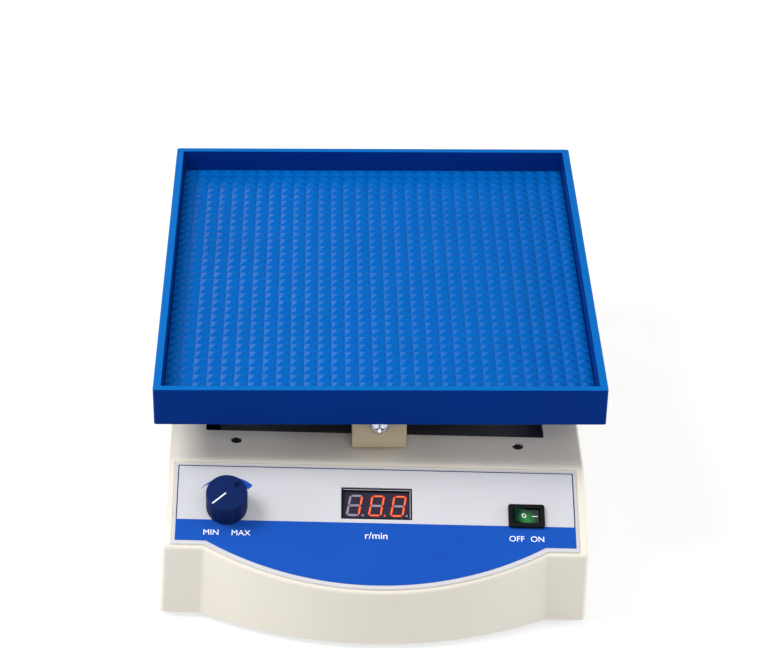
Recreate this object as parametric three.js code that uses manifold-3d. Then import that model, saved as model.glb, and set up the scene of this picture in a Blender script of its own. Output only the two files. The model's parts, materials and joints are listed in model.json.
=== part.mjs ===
// A bench-top orbital shaker with a digital speed display.
//
// The cream housing stands on four rubber feet. A steel chassis plate hangs under its top opening
// and carries a belt-driven centre crank and four idler cranks of the same throw. All five crank
// pins run in one carrier, so the carrier travels in a circle and never turns. A round rod along
// the carrier holds two nylon end blocks, and the blue tray with its pyramid mat is screwed to them.
//
// Millimetres, +Z up, front of the machine towards -Y. While the machine is laid out, x = y = 0 is
// the centre crank's axis and z = 0 is the bench.

import * as THREE from 'three';
import { mergeVertices } from 'three/addons/utils/BufferGeometryUtils.js';
import Module from 'manifold-3d';

const wasm = await Module();
wasm.setup();

// Driving dimensions: the machine as a whole
const gap = 0.3; // between pieces that touch or run in each other
const overrun = 2; // how far a cutter reaches past what it cuts
const sink = 1; // how far forms that are joined reach into each other
const runningGap = 1; // between a turning piece and what it passes
const orbitRadius = 10; // throw of every crank: the tray moves in a 20 mm circle
const restPhase = THREE.MathUtils.degToRad(-82); // where the cranks stand at rest, from +X
const trayLean = THREE.MathUtils.degToRad(-1.6); // the tray is clamped on its rod left side low

// Driving dimensions: the tray
const trayWidth = 260;
const trayDepth = 281;
const trayHeight = 24;
const trayWall = 4.6;
const cavityDepth = 16; // from the rim down to the tray's floor
const trayFloor = 3;
const padDepth = 4; // thickening under the tray's floor, where it is screwed to its end blocks

// Driving dimensions: how the tray's length passes to the carrier, the opening and the housing
const blockFront = 20; // from the tray's front edge to the front end block
const blockDepth = 22;
const blockAway = 6.5; // from the carrier to each end block
const carrierMargin = 14; // of the carrier round its idler bores
const openingMargin = 35.7; // from the idler axes to the ends of the opening
const openingEnd = 29.1; // and on to the ends of the flat top

// Driving dimensions: the housing
const footHeight = 4; // housing edge above the bench
const housingHeight = 69.5;
const housingHalfTop = 121.2; // half width at the top
const sideDraft = 1.9; // each side leans out by this much down to the bottom edge
const panelAngle = THREE.MathUtils.degToRad(21.75); // slope of the front panel
const panelRun = 55; // level length of the panel, up to the flat front walls
const bowInset = 25.9; // the front wall bows out between two corners, this far from its ends
const bowDepth = 24.9;
const wall = 3;
const edgeRadius = 4;
const cornerRadius = 7;

// Driving dimensions: the opening in the top and what stands in it
const openingSide = 20.7; // from the housing's side faces, at the top
const plateThickness = 3;
const plateSlot = 8.5; // the plate stops short of the opening's left edge
const plateOverlap = 3.5; // and runs on under its right edge
const idlerInset = 38.5; // idler crank axes, from the opening's side edges

// Driving dimensions: the crank drive
const spindleRadius = 5;
const idlerRadius = 4;
const crankThickness = 5;
const bearingOuter = 13;
const bearingWidth = 8;
const rodRadius = 6;
const motorY = 84; // motor axis behind the centre crank

// Heights that several pieces share, each standing on the one before
const housingTop = footHeight + housingHeight;
const plateTop = housingTop - wall - gap;
const plateBottom = plateTop - plateThickness;
const crankBottom = plateTop + runningGap;
const crankTop = crankBottom + crankThickness;
const carrierBossBottom = crankTop + runningGap;
const carrierCap = 0.8; // skin of the carrier over its bearing
const carrierTop = carrierBossBottom + bearingWidth + gap + carrierCap;
const rodAir = 0.5; // between the carrier and the rod
const rodHeight = carrierTop + rodAir + rodRadius;
const blockOverRod = 8.5; // nylon left above the rod in each end block
const blockTop = rodHeight + rodRadius + blockOverRod;
const floorBottom = blockTop + gap + padDepth;
const trayTop = floorBottom + trayFloor + cavityDepth;

// Places that several pieces share
const openingHalfWidth = housingHalfTop - openingSide;
const blockFace = trayDepth / 2 - blockFront;
const carrierHalfY = blockFace - blockDepth - blockAway;
const idlerX = openingHalfWidth - idlerInset;
const idlerY = carrierHalfY - carrierMargin;
const openingHalfLength = idlerY + openingMargin;
const topHalfLength = openingHalfLength + openingEnd; // the flat top, before and behind the cranks
const housingHalfBase = housingHalfTop + sideDraft;
const bowHalfChord = housingHalfBase - bowInset;
const kneeY = -topHalfLength - panelRun; // the flat parts of the front wall
const cornerNames = ['front_left', 'front_right', 'rear_left', 'rear_right'];

// Four places, left and right, front and rear, about a middle
function fourPlaces(x, y, middleX = 0, middleY = 0) {
  return [[-x, -y], [x, -y], [-x, y], [x, y]].map(([dx, dy]) => [middleX + dx, middleY + dy]);
}

// Materials, with colours as they look on the machine
const creamPlastic = { color: 0xddd8cc, roughness: 0.45, metalness: 0 };
const bluePlastic = { color: 0x0a55b4, roughness: 0.35, metalness: 0 };
const navyPlastic = { color: 0x1c2b59, roughness: 0.4, metalness: 0 };
const blackPlastic = { color: 0x141416, roughness: 0.45, metalness: 0 };
const nylon = { color: 0xd8cba8, roughness: 0.5, metalness: 0 };
const rubber = { color: 0x1c1c1d, roughness: 0.85, metalness: 0 };
const greySteel = { color: 0x3c3d45, roughness: 0.5, metalness: 0.6 };
const zincSteel = { color: 0xb4b7ba, roughness: 0.35, metalness: 0.9 };
const chrome = { color: 0xd9dcdf, roughness: 0.15, metalness: 1 };
const blackSteel = { color: 0x18181a, roughness: 0.4, metalness: 0.7 };
const bronze = { color: 0xa87b45, roughness: 0.4, metalness: 0.9 };
const aluminium = { color: 0xa9acb0, roughness: 0.45, metalness: 0.9 };
const labelFilm = { color: 0xdadade, roughness: 0.5, metalness: 0 };
const circuitBoard = { color: 0x1f5a38, roughness: 0.55, metalness: 0 };
const clearAcrylic = { color: 0xb9bcc2, roughness: 0.05, metalness: 0 };
const litGreen = { color: 0x16b04e, roughness: 0.3, metalness: 0 };

// Closed geometry to solid and back

function solid(geometry) {
  const bare = geometry.clone();
  bare.deleteAttribute('normal');
  bare.deleteAttribute('uv');
  const merged = mergeVertices(bare);
  const index = merged.index.array;
  const corners = [];
  for (let i = 0; i < index.length; i += 3) {
    const [a, b, c] = [index[i], index[i + 1], index[i + 2]];
    if (a !== b && b !== c && c !== a) corners.push(a, b, c);
  }
  return new wasm.Manifold(new wasm.Mesh({
    numProp: 3,
    vertProperties: new Float32Array(merged.attributes.position.array),
    triVerts: new Uint32Array(corners),
  }));
}

function addPiece(parent, name, body, finish) {
  const mesh = body.asOriginal().simplify(gap / 100).getMesh();
  const geometry = new THREE.BufferGeometry();
  geometry.setAttribute('position', new THREE.BufferAttribute(mesh.vertProperties, 3));
  geometry.setIndex(new THREE.BufferAttribute(mesh.triVerts, 1));
  geometry.computeVertexNormals();
  const piece = new THREE.Mesh(geometry, new THREE.MeshStandardMaterial(finish));
  piece.name = name;
  parent.add(piece);
  return piece;
}

// Form makers

// A box given by its centre in plan and by its lowest and highest z
function block(width, depth, low, high, x = 0, y = 0) {
  const geometry = new THREE.BoxGeometry(width, depth, high - low);
  return solid(geometry.translate(x, y, (low + high) / 2));
}

// An outline with rounded corners: each corner is [x, y, radius]
function roundedPoints(corners, steps = 2) {
  const points = [];
  corners.forEach(([x, y, radius], i) => {
    if (!radius) {
      points.push(new THREE.Vector2(x, y));
      return;
    }
    const corner = new THREE.Vector2(x, y);
    const [ax, ay] = corners[(i + corners.length - 1) % corners.length];
    const [bx, by] = corners[(i + 1) % corners.length];
    const back = new THREE.Vector2(ax - x, ay - y).normalize();
    const ahead = new THREE.Vector2(bx - x, by - y).normalize();
    const half = Math.acos(back.dot(ahead)) / 2;
    const inward = back.clone().add(ahead).normalize();
    const centre = corner.clone().addScaledVector(inward, radius / Math.sin(half));
    const start = corner.clone().addScaledVector(back, radius / Math.tan(half)).sub(centre);
    const turn = Math.sign(back.cross(ahead)) * -(Math.PI - 2 * half);
    for (let step = 0; step <= steps; step += 1) {
      const spoke = start.clone().rotateAround(new THREE.Vector2(), (turn * step) / steps);
      points.push(spoke.add(centre));
    }
  });
  return points;
}

function rectangle(halfX, halfY, radius = 0) {
  const corners = [[-halfX, -halfY], [halfX, -halfY], [halfX, halfY], [-halfX, halfY]];
  return corners.map(([x, y]) => [x, y, radius]);
}

function slab(points, low, high) {
  const geometry = new THREE.ExtrudeGeometry(new THREE.Shape(points), {
    depth: high - low,
    bevelEnabled: false,
  });
  return solid(geometry.translate(0, 0, low));
}

// A slab whose outline is drawn as (y, z) and that reaches from -halfWidth to halfWidth along X
function crossSlab(points, halfWidth) {
  const geometry = new THREE.ExtrudeGeometry(new THREE.Shape(points), {
    depth: 2 * halfWidth,
    bevelEnabled: false,
  });
  geometry.translate(0, 0, -halfWidth);
  geometry.rotateY(Math.PI / 2);
  return solid(geometry.rotateX(Math.PI / 2));
}

// A slab whose outline is drawn as (x, z) and that reaches from front to rear along Y
function lengthSlab(points, front, rear) {
  const geometry = new THREE.ExtrudeGeometry(new THREE.Shape(points), {
    depth: rear - front,
    bevelEnabled: false,
  });
  return solid(geometry.rotateX(Math.PI / 2).translate(0, rear, 0));
}

// A turned piece about Z: the profile is [radius, z] from the bottom up, closed on the axis
function turned(profile, sides = 12) {
  const points = profile.map(([radius, z]) => new THREE.Vector2(radius, z));
  return solid(new THREE.LatheGeometry(points, sides).rotateX(Math.PI / 2));
}

function rod(radius, low, high, sides = 12) {
  return turned([[0, low], [radius, low], [radius, high], [0, high]], sides);
}

function tube(outer, inner, low, high, sides = 12) {
  return rod(outer, low, high, sides).subtract(rod(inner, low - overrun, high + overrun, sides));
}

// Two crossed slots for a screw head, centred on the axis
function crossRecess(length, width, low, high) {
  return block(length, width, low, high).add(block(width, length, low, high));
}

const shaker = new THREE.Group();

// The housing: one cream moulding with a sloped front panel and a bowed front wall

const bowRadius = (bowHalfChord ** 2 + bowDepth ** 2) / (2 * bowDepth);
const bowCentreY = kneeY - bowDepth + bowRadius;

// The housing seen from above, drawn in by inset all round
function planOutline(inset) {
  const half = housingHalfBase - inset;
  const front = kneeY + inset;
  const radius = bowRadius - inset;
  const spread = Math.asin(Math.min(1, Math.sqrt(radius ** 2 - (bowCentreY - front) ** 2) / radius));
  const corner = Math.max(cornerRadius - inset, gap);
  const bowSteps = 14;
  const bow = [];
  for (let step = 0; step <= bowSteps; step += 1) {
    const angle = -Math.PI / 2 - spread + (2 * spread * step) / bowSteps;
    bow.push([radius * Math.cos(angle), bowCentreY + radius * Math.sin(angle), 0]);
  }
  return roundedPoints([
    ...bow,
    [half, front, corner],
    [half, topHalfLength - inset, corner],
    [-half, topHalfLength - inset, corner],
    [-half, front, corner],
  ]);
}

// The space inside the housing's faces, drawn in by inset, reaching down to floor
function housingForm(inset, floor) {
  const high = housingTop - inset;
  const radius = Math.max(edgeRadius - inset, gap);
  const beyond = kneeY - bowDepth - overrun;
  const slopeInset = inset * Math.tan(panelAngle / 2);
  const slopeDrop = (-topHalfLength + slopeInset - beyond) * Math.tan(panelAngle);
  const side = roundedPoints([
    [beyond, floor, 0],
    [topHalfLength - inset, floor, 0],
    [topHalfLength - inset, high, radius],
    [-topHalfLength + slopeInset, high, 3 * edgeRadius],
    [beyond, high - slopeDrop, 0],
  ]);
  const draft = sideDraft / housingHeight;
  const lowHalf = housingHalfBase - inset + (footHeight - floor) * draft;
  const front = roundedPoints([
    [-lowHalf, floor, 0],
    [lowHalf, floor, 0],
    [housingHalfTop - inset, high, radius],
    [-housingHalfTop + inset, high, radius],
  ]);
  return slab(planOutline(inset), floor, high)
    .intersect(crossSlab(side, housingHalfBase + overrun))
    .intersect(lengthSlab(front, beyond, topHalfLength + overrun));
}

// The panel's own frame: x across, y up the slope from its top edge, z out of the panel
const panel = new THREE.Group();
panel.position.set(0, -topHalfLength, housingTop);
panel.rotation.x = panelAngle;
panel.updateMatrix();
shaker.add(panel);

function onPanel(body) {
  return body.transform(panel.matrix.elements);
}

const labelMargin = 4.6; // from the label to the panel's upper and lower edges
const labelSide = 6.2;
const labelTop = -labelMargin; // on the panel, from the slope's upper edge
const labelHalfWidth = housingHalfTop - labelSide;
const labelFlat = panelRun / Math.cos(panelAngle) - 2 * labelMargin; // its height at the two ends
const labelBow = bowDepth / Math.cos(panelAngle); // and how much deeper it is in the middle
const filmThickness = 0.5;

const displayDrop = 21.9; // middles of the three cut-outs, below the label's upper edge
const knobDrop = 28;
const switchDrop = 30.1;
const displayY = labelTop - displayDrop;
const windowHalfX = 20.3;
const windowHalfY = 10.65;
const windowCorner = 0.6;

const knobInset = 29; // knob and switch, from the label's ends
const switchInset = 28.2;
const knobX = knobInset - labelHalfWidth;
const knobY = labelTop - knobDrop;
const knobShaftRadius = 3;
const bushingRadius = 4.2;

const switchX = labelHalfWidth - switchInset;
const switchY = labelTop - switchDrop;
const switchHalfX = 10.5;
const switchHalfY = 7.5;
const switchLip = 1.1; // how far the switch's bezel reaches past its cut-out

const plateLeft = plateSlot - openingHalfWidth;
const plateRight = openingHalfWidth + plateOverlap;
const screwInset = 8.8; // chassis screws, from the plate's left edge
const screwMargin = 9.1; // and beyond the ends of the opening
const screwOffset = 1.1; // they stand a little right of the middle
const screwX = -plateLeft - screwInset;
const screwY = openingHalfLength + screwMargin;
const screwHeadRadius = 4;
const screwHeadHeight = 2.2;
const screwShankRadius = 2;

const bossInsetX = 15.1; // screw bosses, from the housing's side faces
const bossInsetFront = 15.8; // from the flat parts of the front wall
const bossInsetRear = 12.8;
const bossX = housingHalfBase - bossInsetX;
const bossFrontY = kneeY + bossInsetFront;
const bossRearY = topHalfLength - bossInsetRear;
const bossRadius = 6;
const bossHoleRadius = 2;
const bossPlaces = fourPlaces(
  bossX,
  (bossRearY - bossFrontY) / 2,
  0,
  (bossRearY + bossFrontY) / 2,
);
const footScrewBite = 12; // how far each foot screw reaches into its boss

const coverThickness = 1.5;
const coverRecess = 0.8; // the cover lies this far above the housing's edge
const coverBottom = footHeight + coverRecess;
const coverTop = coverBottom + coverThickness;

const inletInset = 51.1; // mains inlet, from the housing's right side
const inletX = housingHalfBase - inletInset;
const inletZ = 34;
const inletHalfX = 14;
const inletHalfZ = 10.5;
const inletCorner = 2;

function switchCutout(low, high) {
  return slab(
    roundedPoints(rectangle(switchHalfX - switchLip, switchHalfY - switchLip)),
    low,
    high,
  ).translate(switchX, switchY, 0);
}

function windowCutout(low, high) {
  return slab(roundedPoints(rectangle(windowHalfX, windowHalfY, windowCorner)), low, high)
    .translate(0, displayY, 0);
}

const bosses = bossPlaces.map(([x, y]) =>
  rod(bossRadius, coverTop + gap, housingTop - wall / 2).translate(x, y, 0));

let housing = housingForm(0, footHeight).subtract(housingForm(wall, footHeight - overrun));
housing = housing.add(wasm.Manifold.union(bosses).intersect(housingForm(wall / 2, footHeight)));
for (const [x, y] of bossPlaces) {
  const holeTop = coverTop + footScrewBite + gap;
  housing = housing.subtract(rod(bossHoleRadius, 0, holeTop).translate(x, y, 0));
}
housing = housing.subtract(slab(
  roundedPoints(rectangle(openingHalfWidth, openingHalfLength, wall)),
  plateTop,
  housingTop + overrun,
));
const chassisScrewPlaces = fourPlaces(screwX, screwY, screwOffset);
const countersink = turned([
  [0, housingTop - wall - overrun],
  [screwShankRadius + gap, housingTop - wall - overrun],
  [screwShankRadius + gap, housingTop - screwHeadHeight - gap],
  [screwHeadRadius + gap, housingTop - gap],
  [screwHeadRadius + gap, housingTop + overrun],
  [0, housingTop + overrun],
]);
for (const [x, y] of chassisScrewPlaces) housing = housing.subtract(countersink.translate(x, y, 0));
housing = housing.subtract(onPanel(windowCutout(-3 * wall, overrun)));
housing = housing.subtract(onPanel(switchCutout(-3 * wall, overrun)));
housing = housing.subtract(onPanel(
  rod(bushingRadius + gap, -3 * wall, overrun).translate(knobX, knobY, 0),
));
housing = housing.subtract(slab(
  roundedPoints(rectangle(inletHalfX, inletHalfZ, inletCorner)),
  -wall - overrun,
  overrun,
).rotate([-90, 0, 0]).translate(inletX, topHalfLength, inletZ));
addPiece(shaker, 'housing', housing, creamPlastic);

// The bottom cover, with rows of air slots, and the feet screwed through it into the bosses

let cover = slab(planOutline(wall + gap), coverBottom, coverTop);
const slotPitch = 12;
const slotsPerRow = 3;
const slotHalfWidth = 2;
const slotHalfLength = 22;
for (let i = 0; i < slotsPerRow; i += 1) {
  const x = (i - (slotsPerRow - 1) / 2) * slotPitch;
  const slot = slab(
    roundedPoints(rectangle(slotHalfWidth, slotHalfLength, slotHalfWidth)),
    coverBottom - overrun,
    coverTop + overrun,
  );
  cover = cover.subtract(slot.translate(x, motorY, 0));
  cover = cover.subtract(slot.translate(x, kneeY / 2, 0));
}
for (const [x, y] of bossPlaces) {
  cover = cover.subtract(rod(bossHoleRadius + gap, 0, housingTop).translate(x, y, 0));
}
addPiece(shaker, 'bottom_cover', cover, greySteel);

const footRadius = 10;
const footTopRadius = 8.5;
const footChamfer = 1;
const footBore = 4.2;
const footWeb = 1.6; // rubber left between the screw head and the cover
const footTop = coverBottom - gap;
const footScrewHead = footBore - 2 * gap;
const footScrewHeight = 1.8;
const footScrewChamfer = 0.4;
const footScrewSlot = 0.8;
bossPlaces.forEach(([x, y], i) => {
  const foot = turned([
    [0, 0],
    [footRadius - footChamfer, 0],
    [footRadius, footChamfer],
    [footTopRadius, footTop],
    [0, footTop],
  ])
    .subtract(rod(footBore, -overrun, footTop - footWeb))
    .subtract(rod(bossHoleRadius + gap, -overrun, footTop + overrun));
  addPiece(shaker, `foot_${cornerNames[i]}`, foot.translate(x, y, 0), rubber);
  const headTop = footTop - footWeb - gap;
  const headBottom = headTop - footScrewHeight;
  const screw = turned([
    [0, headBottom],
    [footScrewHead - footScrewChamfer, headBottom],
    [footScrewHead, headTop],
    [bossHoleRadius - gap, headTop],
    [bossHoleRadius - gap, coverTop + footScrewBite],
    [0, coverTop + footScrewBite],
  ]).subtract(crossRecess(footScrewHead, footScrewSlot, 0, headTop - footScrewHeight / 2));
  addPiece(shaker, `foot_screw_${cornerNames[i]}`, screw.translate(x, y, 0), zincSteel);
});

// The chassis plate under the top opening, its four countersunk screws, and the bearings in it

const plateEnd = 8; // plate beyond its screws
const boreMargin = 2; // bores in the plate, beyond the bearing and the idler shafts
const plateHalfLength = screwY + plateEnd;
const idlerPlaces = fourPlaces(idlerX, idlerY);
let chassisPlate = slab(
  roundedPoints(rectangle((plateRight - plateLeft) / 2, plateHalfLength, cornerRadius)),
  plateBottom,
  plateTop,
).translate((plateRight + plateLeft) / 2, 0, 0);
chassisPlate = chassisPlate.subtract(rod(bearingOuter + boreMargin, 0, housingTop, 16));
for (const [x, y] of idlerPlaces) {
  chassisPlate = chassisPlate.subtract(rod(idlerRadius + boreMargin, 0, housingTop).translate(x, y, 0));
}
for (const [x, y] of chassisScrewPlaces) {
  const hole = rod(screwShankRadius + gap, 0, housingTop);
  chassisPlate = chassisPlate.subtract(hole.translate(x, y, 0));
}
addPiece(shaker, 'chassis_plate', chassisPlate, greySteel);

chassisScrewPlaces.forEach(([x, y], i) => {
  const slotWidth = 1;
  const slotDepth = screwHeadHeight / 2;
  const screwTip = 1; // the screw's end below the plate
  const screw = turned([
    [0, plateBottom - screwTip],
    [screwShankRadius, plateBottom - screwTip],
    [screwShankRadius, housingTop - screwHeadHeight - gap / 2],
    [screwHeadRadius, housingTop - gap],
    [0, housingTop - gap],
  ]).subtract(crossRecess(screwHeadRadius, slotWidth, housingTop - slotDepth, housingTop + overrun));
  addPiece(shaker, `chassis_screw_${cornerNames[i]}`, screw.translate(x, y, 0), blackSteel);
});

// The belt runs below; the spindle housing and the motor fill the room between it and the plate
const pulleyLift = 8; // pulleys above the cover
const pulleyHeight = 10;
const pulleyBottom = coverTop + pulleyLift;
const pulleyTop = pulleyBottom + pulleyHeight;
const spindleHousingLift = 12.6; // spindle housing above the pulley
const spindleHousingFlange = 26;
const spindleHousingTube = 17;
const spindleHousingTop = plateBottom - gap;
const spindleHousingBottom = pulleyTop + spindleHousingLift;
const flangeThickness = 4;
const spindleHousing = turned([
  [0, spindleHousingBottom],
  [spindleHousingTube, spindleHousingBottom],
  [spindleHousingTube, spindleHousingTop - flangeThickness],
  [spindleHousingFlange, spindleHousingTop - flangeThickness],
  [spindleHousingFlange, spindleHousingTop],
  [0, spindleHousingTop],
], 16).subtract(rod(bearingOuter + gap, 0, housingTop));
addPiece(shaker, 'spindle_housing', spindleHousing, aluminium);

// A ball bearing drawn as one ring with the groove between its races
const raceWidth = 3;
const raceGroove = 1;
function bearing(low) {
  const high = low + bearingWidth;
  const grooveIn = spindleRadius + raceWidth;
  const grooveOut = bearingOuter - raceWidth;
  return turned([
    [0, low],
    [bearingOuter, low],
    [bearingOuter, high],
    [grooveOut, high],
    [grooveOut, high - raceGroove],
    [grooveIn, high - raceGroove],
    [grooveIn, high],
    [0, high],
  ]).subtract(rod(spindleRadius + gap, low - overrun, high + overrun));
}
addPiece(shaker, 'spindle_bearing_upper', bearing(spindleHousingTop - bearingWidth), zincSteel);
addPiece(shaker, 'spindle_bearing_lower', bearing(spindleHousingBottom), zincSteel);

const idlerFlange = 11;
const idlerBushRadius = 7;
const idlerBushLength = 18;
const idlerFlangeThickness = 3;
idlerPlaces.forEach(([x, y], i) => {
  const top = plateBottom - gap;
  const bush = turned([
    [0, top - idlerBushLength],
    [idlerBushRadius, top - idlerBushLength],
    [idlerBushRadius, top - idlerFlangeThickness],
    [idlerFlange, top - idlerFlangeThickness],
    [idlerFlange, top],
    [0, top],
  ]).subtract(rod(idlerRadius + gap, 0, housingTop));
  addPiece(shaker, `idler_bush_${cornerNames[i]}`, bush.translate(x, y, 0), bronze);
});

// The cranks: the belt-driven centre spindle and four idlers, all at the same phase and throw

const offsetX = orbitRadius * Math.cos(restPhase);
const offsetY = orbitRadius * Math.sin(restPhase);
const pinCap = 1; // carrier left over each crank pin
const pinTop = carrierTop - pinCap;
const pulleyRadius = 45;
const spindleTail = 2; // spindle below its pulley
const spindleBottom = pulleyBottom - spindleTail;
const counterweightRadius = 34;
const crankMargin = 4; // metal round a crank's pin
const crankRadius = orbitRadius + spindleRadius + crankMargin;

// A quarter-round weight on the far side of the crank pin
function counterweight(low, high) {
  const reach = THREE.MathUtils.degToRad(50);
  const steps = 8;
  const points = [new THREE.Vector2(0, 0)];
  for (let step = 0; step <= steps; step += 1) {
    const angle = restPhase + Math.PI - reach + (2 * reach * step) / steps;
    points.push(new THREE.Vector2(
      counterweightRadius * Math.cos(angle),
      counterweightRadius * Math.sin(angle),
    ));
  }
  return slab(points, low, high);
}

const driveSpindle = rod(spindleRadius, spindleBottom, crankBottom + sink)
  .add(rod(crankRadius, crankBottom, crankTop, 20))
  .add(counterweight(crankBottom, crankTop))
  .add(rod(spindleRadius, crankTop - sink, pinTop).translate(offsetX, offsetY, 0));
addPiece(shaker, 'drive_spindle', driveSpindle, zincSteel);

const idlerCrankRadius = orbitRadius + idlerRadius + crankMargin;
const idlerTail = 4; // idler shafts below their bushes
idlerPlaces.forEach(([x, y], i) => {
  const crank = rod(idlerRadius, plateBottom - idlerBushLength - idlerTail, crankBottom + sink)
    .add(rod(idlerCrankRadius, crankBottom, crankTop, 16))
    .add(rod(idlerRadius, crankTop - sink, pinTop).translate(offsetX, offsetY, 0));
  addPiece(shaker, `idler_crank_${cornerNames[i]}`, crank.translate(x, y, 0), zincSteel);
});

// The belt drive below the chassis plate

const beltHeight = 6;
const beltThickness = 1.5;
const pulleyGroove = 2; // depth of the belt seat under the pulley's rims
const hubRadius = 12;
const hubTop = spindleHousingBottom - runningGap;
const seatLow = (pulleyBottom + pulleyTop - beltHeight) / 2 - gap;
const seatHigh = (pulleyBottom + pulleyTop + beltHeight) / 2 + gap;

// The rim of a belt pulley: two flanges with the belt seat between them
function pulleyRim(radius, low, high) {
  return [
    [radius, low],
    [radius, seatLow],
    [radius - pulleyGroove, seatLow],
    [radius - pulleyGroove, seatHigh],
    [radius, seatHigh],
    [radius, high],
  ];
}

const webThickness = 4;
const rimWidth = 7;
const dishLow = (pulleyBottom + pulleyTop - webThickness) / 2;
const dishHigh = dishLow + webThickness;
const dishOuter = pulleyRadius - rimWidth;
let drivenPulley = turned([
  [0, pulleyBottom],
  [hubRadius, pulleyBottom],
  [hubRadius, dishLow],
  [dishOuter, dishLow],
  [dishOuter, pulleyBottom],
  ...pulleyRim(pulleyRadius, pulleyBottom, pulleyTop),
  [dishOuter, pulleyTop],
  [dishOuter, dishHigh],
  [hubRadius, dishHigh],
  [hubRadius, hubTop],
  [0, hubTop],
], 24).subtract(rod(spindleRadius + gap, 0, housingTop));
const lighteningHoles = 4;
const lighteningRadius = (dishOuter - hubRadius) / 3;
for (let i = 0; i < lighteningHoles; i += 1) {
  const angle = (2 * Math.PI * i) / lighteningHoles;
  const middle = (dishOuter + hubRadius) / 2;
  drivenPulley = drivenPulley.subtract(
    rod(lighteningRadius, dishLow - overrun, dishHigh + overrun)
      .translate(middle * Math.cos(angle), middle * Math.sin(angle), 0),
  );
}
addPiece(shaker, 'driven_pulley', drivenPulley, aluminium);

const motorPulleyRadius = 11;
const motorShaftRadius = 2.5;
const motorRadius = 27;
const motorChamfer = 2;
const motorFlange = 3;
const motorBossRadius = 9;
const motorBossHeight = 2;
const motorLift = 8.6; // motor above its pulley
const motorTop = plateBottom - gap;
const motorBottom = pulleyTop + motorLift + motorBossHeight;
const shaftDepth = 14; // how far the rotor's shaft reaches into the motor
const motorPulley = turned([
  [0, pulleyBottom],
  ...pulleyRim(motorPulleyRadius, pulleyBottom, pulleyTop),
  [motorShaftRadius, pulleyTop],
  [motorShaftRadius, motorBottom + shaftDepth - gap],
  [0, motorBottom + shaftDepth - gap],
], 16);
addPiece(shaker, 'motor_pulley', motorPulley.translate(0, motorY, 0), aluminium);

const motor = turned([
  [0, motorBottom - motorBossHeight],
  [motorBossRadius, motorBottom - motorBossHeight],
  [motorBossRadius, motorBottom],
  [motorRadius - motorChamfer, motorBottom],
  [motorRadius, motorBottom + motorChamfer],
  [motorRadius, motorTop - motorFlange],
  [motorRadius + motorFlange, motorTop - motorFlange],
  [motorRadius + motorFlange, motorTop],
  [0, motorTop],
], 20).subtract(rod(motorShaftRadius + gap, 0, motorBottom + shaftDepth));
addPiece(shaker, 'motor', motor.translate(0, motorY, 0), blackSteel);

// The loop round two pulleys of these radii, the small one motorY behind the large one
function beltOutline(large, small) {
  const tilt = Math.asin((large - small) / motorY);
  const steps = 20;
  const points = [];
  for (let step = 0; step <= steps; step += 1) {
    const angle = Math.PI - tilt + ((Math.PI + 2 * tilt) * step) / steps;
    points.push(new THREE.Vector2(large * Math.cos(angle), large * Math.sin(angle)));
  }
  for (let step = 0; step <= steps; step += 1) {
    const angle = tilt + ((Math.PI - 2 * tilt) * step) / steps;
    points.push(new THREE.Vector2(small * Math.cos(angle), motorY + small * Math.sin(angle)));
  }
  return points;
}
const beltInside = gap - pulleyGroove;
const beltOutside = beltInside + beltThickness;
const belt = slab(
  beltOutline(pulleyRadius + beltOutside, motorPulleyRadius + beltOutside),
  seatLow + gap,
  seatHigh - gap,
).subtract(slab(
  beltOutline(pulleyRadius + beltInside, motorPulleyRadius + beltInside),
  seatLow - overrun,
  seatHigh + overrun,
));
addPiece(shaker, 'drive_belt', belt, rubber);

// The carrier: one casting that all five crank pins run in, with the rod clamped on top of it

const platform = new THREE.Group();
platform.position.set(offsetX, offsetY, 0);
shaker.add(platform);

const carrierThickness = 3.5;
const carrierBottom = carrierTop - carrierThickness;
const carrierRib = 12;
const hubWall = 4;
const hubOuter = bearingOuter + hubWall;
const carrierHalfX = idlerX + carrierMargin;
const lipHeight = 4;
const lipThickness = 2.5;
const idlerBossWall = 5;
const idlerBoss = idlerRadius + idlerBossWall;

// Four windows lighten the carrier and leave ribs between its bosses
function carrierWindows() {
  const halfX = (idlerX - hubOuter) / 2;
  const halfY = idlerY / 2 - carrierRib;
  const window = slab(
    roundedPoints(rectangle(halfX, halfY, carrierRib / 2)),
    carrierBottom - lipHeight,
    carrierTop + overrun,
  );
  const x = (hubOuter + carrierRib) / 2 + halfX;
  const y = carrierRib / 2 + halfY;
  return fourPlaces(x, y).map(([cx, cy]) => window.translate(cx, cy, 0));
}

let carrier = slab(
  roundedPoints(rectangle(carrierHalfX, carrierHalfY, carrierMargin)),
  carrierBottom - lipHeight,
  carrierTop,
).subtract(slab(
  roundedPoints(rectangle(
    carrierHalfX - lipThickness,
    carrierHalfY - lipThickness,
    carrierMargin - lipThickness,
  )),
  carrierBottom - lipHeight - overrun,
  carrierBottom,
));
for (const window of carrierWindows()) carrier = carrier.subtract(window);
carrier = carrier.add(rod(hubOuter, carrierBossBottom, carrierBottom + sink, 20));
for (const [x, y] of idlerPlaces) {
  carrier = carrier.add(rod(idlerBoss, carrierBossBottom, carrierBottom + sink).translate(x, y, 0));
}
const hubBearingLow = carrierBossBottom;
const hubBearingHigh = hubBearingLow + bearingWidth;
carrier = carrier.subtract(rod(bearingOuter + gap, 0, hubBearingHigh + gap));
for (const [x, y] of idlerPlaces) {
  carrier = carrier.subtract(rod(idlerRadius + gap, 0, pinTop + gap).translate(x, y, 0));
}
addPiece(platform, 'tray_carrier', carrier, aluminium);
addPiece(platform, 'carrier_bearing', bearing(hubBearingLow), zincSteel);

// The rod, its two clamps and, on the rod's ends, the nylon end blocks

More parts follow.
